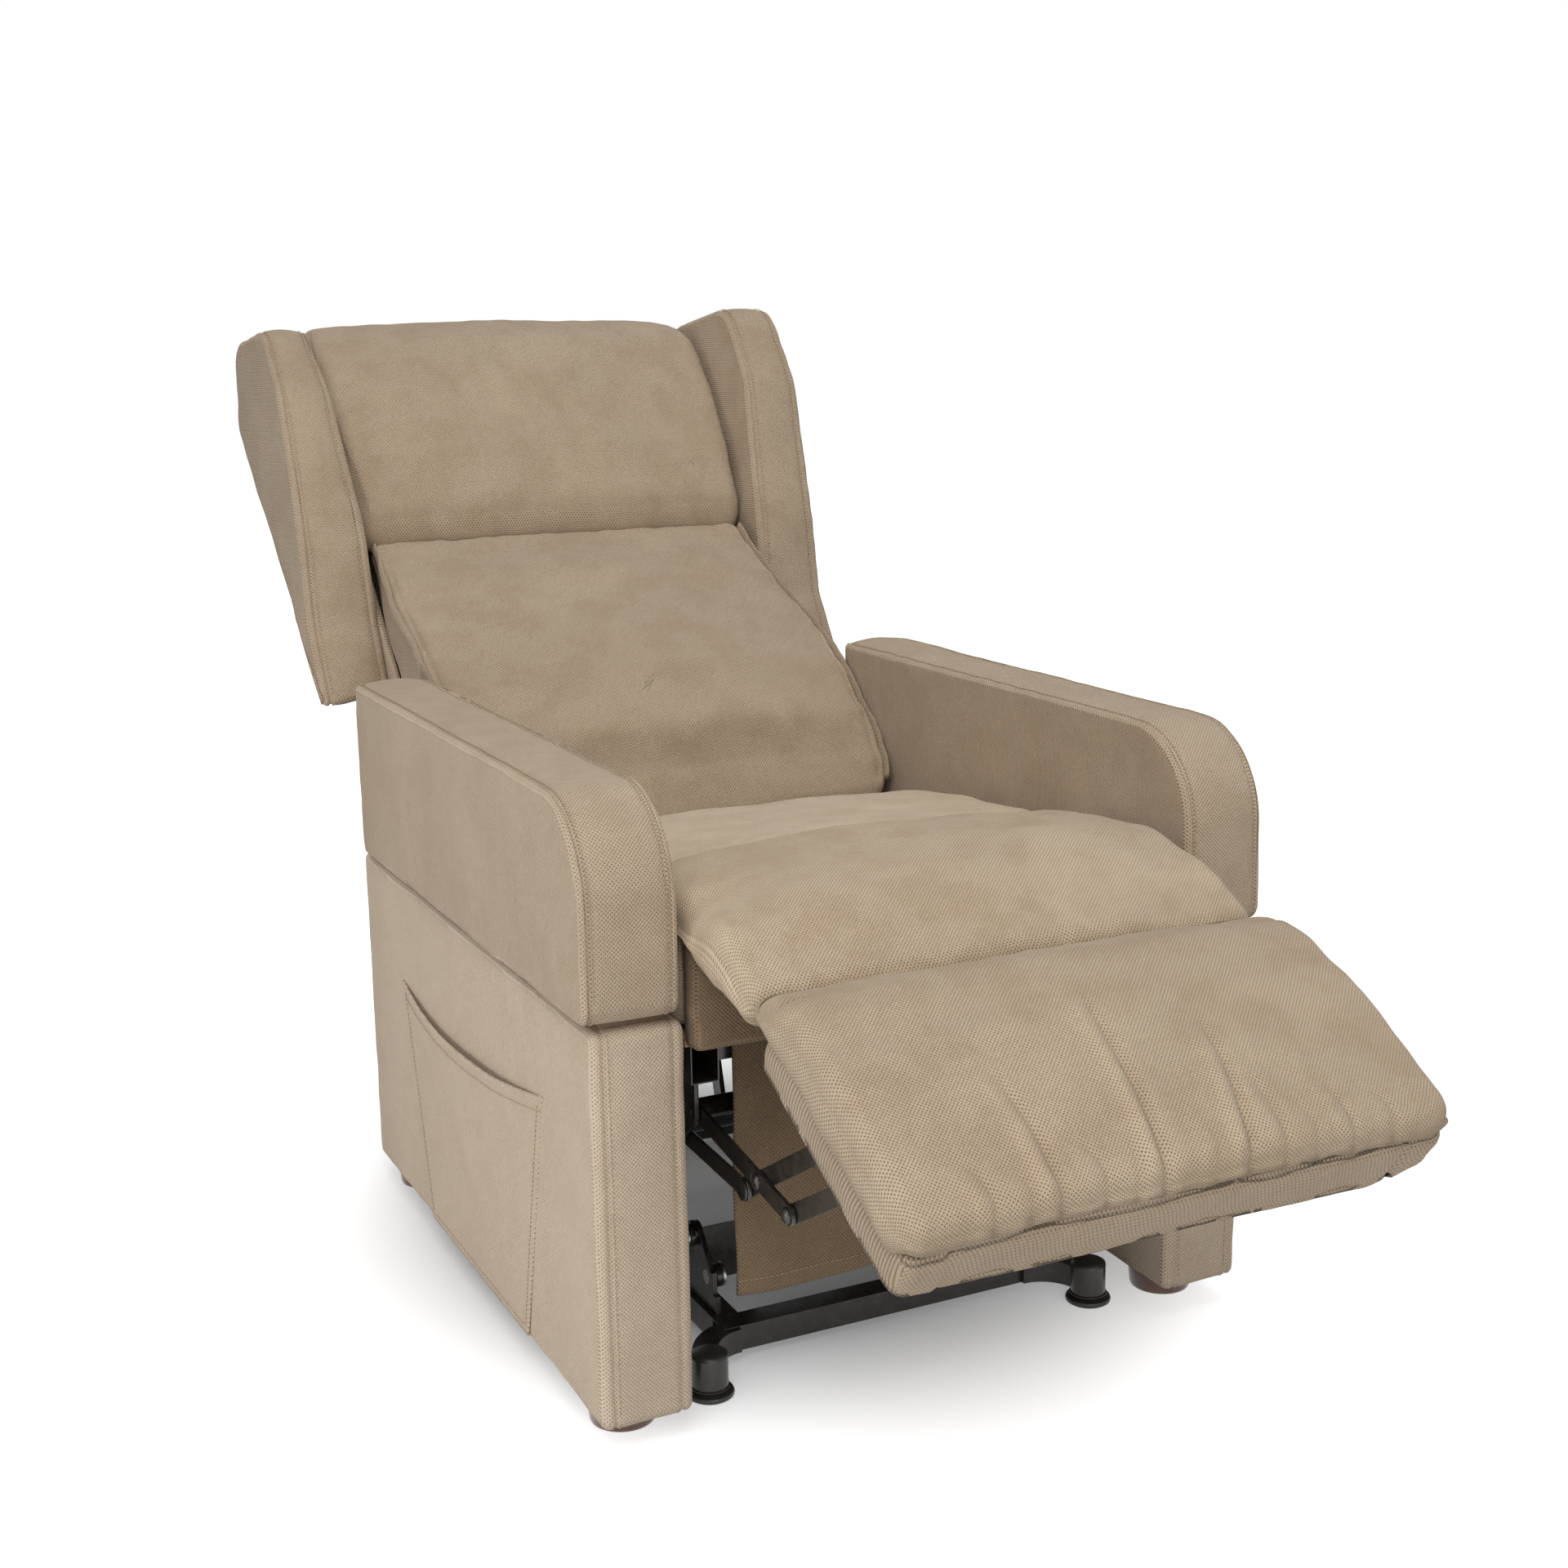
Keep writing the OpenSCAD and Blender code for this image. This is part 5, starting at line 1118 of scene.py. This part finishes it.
def finish_lumbar(o):
    rumple(o, (2.2, 190, 91), (0.6, 60, 92))
    x, d, n = to_back(places(o))
    near_top = ease((d - 470) / 60) * (n > 0)
    n = n + near_top * (1.2 * np.sin(x * 0.10 + 0.5) * np.sin(x * 0.031) + 0.6 * np.sin(x * 0.21))
    # slanting draw lines from the side seams, as the cloth is pulled round the foam
    inside = np.abs(x) - lumbar_half(d)
    pull = ease((inside + 60) / 60) * (n > 20)
    n = n + pull * (1.3 * np.sin(d * 0.085 + x * 0.02) + 0.8 * np.sin(d * 0.17 + 2)) * ease((540 - d) / 80)
    # clear of the panels' tops and of the seat's rear edge at both ends of the recline
    wide = 271.5 + 11.7 * ease(np.minimum(0.974 * d + 0.225 * n - 27, 0.454 * d + 0.891 * n - 28) / 12)
    n = np.minimum(n, 117.5 + 0.231 * d + 40 * ease((d - 58) / 16))
    set_places(o, from_back(np.clip(x, -wide, wide), d, np.maximum(n, BACK_FACE)))
    # painted shade on the pad's side bands, behind their front edges
    paint_shading(o, -0.45 * ease((inside + 6) / 5) * ease((lumbar_edge(d) - 6 - n) / 10))
    # a flange stands out along each side seam, sewn down on both sides
    runs = []
    d = np.linspace(4, 522, 140)
    half, edge = lumbar_half(d), lumbar_edge(d)
    wave = 0.9 * np.sin(d * 0.09) + 0.5 * np.sin(d * 0.23)
    for side, word in SIDES[::-1]:
        line, _ = lie_on(o, from_back(side * (half - 9), d, edge + 6))
        groove(o, [(line, 1.0)], 3.0, 3.6)
        x, along, _ = to_back(lie_on(o, from_back(side * (half + 2), d, edge - 8))[0])
        path = from_back(side * np.minimum(np.abs(x) + 0.6, WING_FACE - 0.4), along, edge - 1.5 + wave)
        strip = flat_tube(f"lumbar_flange_{word}", path, 9.0, 0.32, BACK_NORMAL, FABRIC_BACK)
        place_piece(strip, "back", "upholstery")
        runs += [(path + off * BACK_NORMAL - [side * 2.6, 0, 0], [-side, 0, 0]) for off in (-3.4, 3.0)]
    stitches("lumbar_stitching", runs, "back", thick=0.5)
    place_piece(o, "back", "upholstery", "lumbar_pad", fill=0.7)


HEAD_EDGE = np.array([(520, 8), (531, 14), (560, 34), (640, 57), (740, 70), (800, 71), (840, 65), (870, 53),
                      (895, 38), (915, 22), (940, 4)], float)


def head_pad():
    outline = filleted([(-273, PILLOW_SEAM), (273, PILLOW_SEAM), (277, 640), (277, 927), (-277, 927),
                        (-277, 640)], [21, 21, 60, 36, 36, 60], 5)
    low = lambda x, d: np.full(len(x), BACK_FACE)
    high = lambda x, d: np.interp(d, *HEAD_EDGE.T) + 16 * dome(x, 280, 0.65) * ease((d - 528) / 50)
    return pad("head_pillow_cover", outline, ((-110, 731), (110, 731)), low, high, from_back, 8, 20, 90,
               FABRIC_BACK, bulge=1.5, top=46)


def head_pins(p):
    x, d, n = to_back(p)
    return np.clip((n < -12) + near_line(d, 533, 8) + near_line(np.abs(x), 275, 7) * 0.9 + (d > 900)
                   + ease((d - 850) / 50) * 0.7, 0, 1)


def finish_head(o):
    rumple(o, (2.0, 200, 95), (0.6, 55, 96))
    x, d, n = to_back(places(o))
    low = ease((585 - d) / 55) * (n > 0)
    n = n + low * (1.0 * np.sin(x * 0.085) * np.sin(x * 0.027 + 1) + 0.5 * np.sin(x * 0.19 + 2))
    # the pillow fills the room up to the wings, whose inner faces lean outwards
    wide = WING_FACE - 0.4
    x = np.clip(x, -wide, wide)
    lean = leaning(np.where(x > 0, LEAN[1] - 1, LEAN[-1] - 1), d, n)
    x = x + np.sign(x) * lean * ease((np.abs(x) - 120) / 160) ** 1.5
    set_places(o, from_back(x, np.clip(d, PILLOW_SEAM - 0.2, 944), np.maximum(n, BACK_FACE)))
    runs, lines = [], []
    for side in (-1, 1):
        line, _ = lie_on(o, from_back(side * 306.0, np.linspace(545, 900, 110), 64.0))
        lines.append((line, 1.0))
        runs.append(lie_on(o, line + 6.0 * BACK_NORMAL - [side * 5.0, 0, 0], 0.3))
    groove(o, lines, 2.8, 2.4)
    # a small crease at the upper left, where the cover is drawn in beside the wing
    q = np.linspace(0, 1, 30)
    crease, _ = lie_on(o, from_back(-284 + 48 * q, 730 + 30 * q ** 0.6, 110.0))
    groove(o, [(crease, np.sin(q * math.pi) ** 0.6)], 4.0, 4.0)
    stitches("head_stitching", runs, "back", thick=0.5)
    place_piece(o, "back", "upholstery", "head_pillow", fill=0.75)


def cushions():
    # what makes a pad, its voxels and pins as cloth, the cap on its swelling, and what finishes it
    plan = ((seat_pad, 9, seat_pins, 7, finish_seat), (bridge_pad, 8, bridge_pins, 5, finish_bridge),
            (foot_pad, 8, foot_pins, 7, finish_foot), (lumbar_pad, 9.5, lumbar_pins, 8, finish_lumbar),
            (head_pad, 9.5, head_pins, 7, finish_head))
    pads = [(build(), voxel, pins, cap) for build, voxel, pins, cap, _ in plan]
    swell(pads)
    for (o, *_), (*_, finish) in zip(pads, plan):
        finish(o)


# Hanging cloth
def two_sided(name, front, rear, plane, material):
    """A closed cloth between two grids of places; its weave lies in the plane of two axes."""
    grid = np.arange(front[..., 0].size).reshape(front.shape[:2])
    m = grid.size
    a, b, c, d = grid[:-1, :-1], grid[1:, :-1], grid[1:, 1:], grid[:-1, 1:]
    sheets = [np.stack(q, -1).reshape(-1, 4) for q in ((a, b, c, d), (m + a, m + d, m + c, m + b))]
    rims = [np.stack([p, m + p, m + q, q], -1)
            for p, q in ((e[:-1], e[1:]) for e in (grid[:, 0], grid[:, -1], grid[0], grid[-1]))]
    faces = np.vstack(sheets + rims)
    verts = np.vstack([front.reshape(-1, 3), rear.reshape(-1, 3)])
    return outward(make(name, verts, faces.tolist(), material, verts[faces.ravel()][:, plane] / 1000))


def flap():
    columns, rows, half, thick = 96, 64, 199.0, 2.6
    top, low, hangs_at = 391.0, 106.0, 67.5
    xs = np.linspace(-half, half, columns)
    gx, gz = np.meshgrid(xs, np.linspace(top, low, rows))
    s = (top - gz) / (top - low)
    y = hangs_at + s * (2.4 * np.sin(gx * 0.028 + 0.8) + 1.2 * np.sin(gx * 0.061 + 2.0))
    y += s * wobble(xyz(gx.ravel(), 0, gz.ravel()), 110, 5).reshape(gx.shape)
    z = gz + s ** 2 * 4.0 * np.sin(gx * 0.017 + 1.1)
    x = gx + s * 2.0 * np.sin(gz * 0.035) * np.sign(gx) * ease((np.abs(gx) - 150) / 50)
    hem = ease((14 - (z - low)) / 2) * 0.6
    o = two_sided("front_flap_cloth", xyz(x, y - thick / 2 - hem, z), xyz(x, y + thick / 2 + hem, z), [0, 2],
                  FABRIC_DARK)
    place_piece(o, "seat", "lining", "front_flap")
    path = xyz(xs, y[-4] - thick / 2 - 0.7, z[-4] + 2)
    stitches("flap_stitching", [(path, [0, -1, 0])], slot="lining")


def pocket():
    """A cloth face that stands off the panel at its mouth, sewn down on its other three sides."""
    columns, rows, wide, deep = 90, 70, 494, 288
    panel_face = -370.4
    u = np.linspace(0, 1, columns)[None, :]
    v = np.linspace(0, 1, rows)[:, None]          # 0 at the mouth, 1 at the foot
    y = (134 + 79 * v) + u * (wide - 158 * v)
    z = 324 - (29 * np.sin(math.pi * u) + 18 * ease((u - 0.35) / 0.65)) * (1 - v) ** 1.4 - deep * v
    out = 9.0 * np.sin(math.pi * u) ** 0.7 * (1 - v) ** 0.8 + 1.0
    out = out + (0.8 * wobble(xyz(y.ravel(), z.ravel(), 0), 90, 7).reshape(out.shape)
                 * np.sin(math.pi * u) * (1 - v * 0.5))
    out = np.clip(out, 0.6, 9.6)
    rim = np.minimum(np.minimum(u * wide, (1 - u) * wide), (1 - v) * deep)
    out = out - 0.9 * near_line(rim, 7, 2.2)
    hem = ease((12 - v * deep) / 2.5) * 0.9 - 0.9 * near_line(v * deep, 14, 1.6)
    x_out = panel_face - (np.maximum(out, 0.8) + 1.4 + hem)
    front = xyz(x_out, y, z)
    rear = xyz(np.minimum(x_out + 1.9 + hem, panel_face + 0.2), y, z)
    o = two_sided("pocket_cloth", front, rear, [1, 2], FABRIC_SIDE)
    place_piece(o, "seat", "upholstery", "side_pocket")
    runs = [(line - [0.3, 0, 0], [-1, 0, 0])
            for line in (front[4], front[2:-2, 2], front[2:-2, -3], front[-3, 3:-3])]
    stitches("pocket_stitching", runs)


# Steel, feet and the rest of the frame
BODY_OF = {n: b for b, names in frame["record"]["behaviour"]["bodies"].items() for n in names}
SLOT_OF = {s["node"]: s["material_slot"] for s in frame["record"]["subparts"]}
RIVETED = ("link_rivets", "footrest_rivets", "seat_pivot_pins")


def softened(node, material, width):
    """A copy of a rigid CAD node with small rounded edges, which catch the light."""
    o = shown(f"{node}_piece", frame["nodes"][node].data.copy())
    with edited(o) as bm:
        bmesh.ops.remove_doubles(bm, verts=bm.verts, dist=1e-5)
        bmesh.ops.dissolve_limit(bm, angle_limit=math.radians(1.0), verts=bm.verts, edges=bm.edges)
    with_modifier(o, "BEVEL", width=width / 1000, segments=2, limit_method="ANGLE",
                  angle_limit=math.radians(35), harden_normals=False)
    with_modifier(o, "WEIGHTED_NORMAL", keep_sharp=True)
    o.data.polygons.foreach_set("use_smooth", [True] * len(o.data.polygons))
    baked(o)
    painted(o, material)
    place_piece(o, BODY_OF[node], SLOT_OF[node], node)


def painted(o, material):
    o.data.materials.clear()
    o.data.materials.append(material)


def lathe(profile, at, axis="z", sides=48):
    """Vertices and faces of a turned form: profile is (radius, along) from end to end."""
    verts = []
    for r, h in profile:
        for i in range(sides):
            a = 2 * math.pi * i / sides
            u, v = r * math.cos(a), r * math.sin(a)
            turned = (u, v, h) if axis == "z" else (h, u, v)
            verts.append(tuple(p + q for p, q in zip(at, turned)))
    return verts, tube_faces(len(profile), sides)


def joined(name, parts, material, body, slot, *nodes):
    verts, faces = [], []
    for v, f in parts:
        faces += [tuple(i + len(verts) for i in q) for q in f]
        verts += v
    o = outward(make(name, np.array(verts), faces, material))
    o.data.shade_smooth()
    with_modifier(o, "EDGE_SPLIT", split_angle=math.radians(50))
    baked(o)
    place_piece(o, body, slot, *nodes)


def feet():
    shape = [(0.5, 0.2), (30, 0.2), (32.2, 1.2), (33.2, 3.5), (35.4, 24), (35.6, 27), (34.6, 29.6),
             (0.5, 29.8)]
    under_panel, front, rear = 323, 74, 748
    parts = [lathe(shape, (sx * under_panel, y, 0)) for sx in (-1, 1) for y in (front, rear)]
    joined("turned_wooden_feet", parts, FOOT_WOOD, "seat", "foot_wood", "wooden_feet")
    shape = [(0.5, 0), (22, 0), (24.4, 1.6), (25, 4), (24.2, 6.2), (20.5, 7.4), (17.2, 7.8), (16.4, 8.6),
             (18.2, 9.2), (20.2, 9.8), (20.4, 11.2), (19, 11.9), (5, 12), (5, 31), (0.5, 31)]
    # domed caps on the round posts over the base's feet
    cap = [(18.9, 0), (18.4, 1.6), (15.5, 3.4), (9, 4.8), (3, 5.3), (0.5, 5.4)]
    low, high = (1000 * (end.y - FRONT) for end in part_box("base_feet"))
    for name, form, z, nodes in (("turned_base_feet", shape, 0, ["base_feet"]), ("post_caps", cap, 44.1, [])):
        parts = [lathe(form, (sx * 228, y, z)) for sx in (-1, 1) for y in (low + 25, high - 25)]
        joined(name, parts, PLASTIC, "base", "black_plastic", *nodes)


def rivet_domes():
    """A domed head on each rivet of the footrest linkage, on both faces of the links and at both sides."""
    profile = [(8.1, 0), (7.9, 0.9), (6.6, 2.0), (4.2, 2.9), (1.6, 3.3), (0.4, 3.4)]
    # the rivets' (y, z), and x of the outer and the inner face that they hold together
    for node, body, points, outer, inner in (
            (RIVETED[0], "drive", ((-23.7, 265), (-88.9, 255.7)), 219, 205.6),
            (RIVETED[1], "footrest", ((-195.5, 366.3), (-260.3, 355.5)), 219, 205.6),
            (RIVETED[2], "seat", ((168.5, 249.8),), 223.2, 209.0)):
        parts = [lathe([(r, sign * side * h) for r, h in profile], (side * x, y, z), "x", 24)
                 for y, z in points for side in (-1, 1) for sign, x in ((1, outer), (-1, inner))]
        joined(f"{node}_domes", parts, RIVET, body, "bright_steel")


def rigid_parts():
    material_of = {"foot_wood": FOOT_WOOD, "board": BARE_WOOD, "black_plastic": PLASTIC,
                   "bright_steel": BRIGHT, "black_steel": STEEL, "lining": FABRIC_DARK, "upholstery": FABRIC}
    as_built = RIVETED + ("seat_webbing", "seat_deck", "base_pivot_pins", "lift_rod", "back_rod",
                          "footrest_rod")
    for node, obj in frame["nodes"].items():
        if obj.hide_render:
            continue
        material = WEBBING if node == "seat_webbing" else material_of[SLOT_OF[node]]
        if node in as_built:
            painted(obj, RIVET if node in RIVETED else material)
        else:
            softened(node, material, 1.6 if "actuator" in node or node == "control_box" else 0.8)


camera()
studio()
arms_and_panels()
wings()
tray()
fascia()
board()
cushions()
flap()
pocket()
feet()
rigid_parts()
rivet_domes()

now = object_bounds()
as_list = lambda b: [list(map(float, c)) for c in b]
{"cad": as_list(CAD_BOX), "visual": as_list(now)}
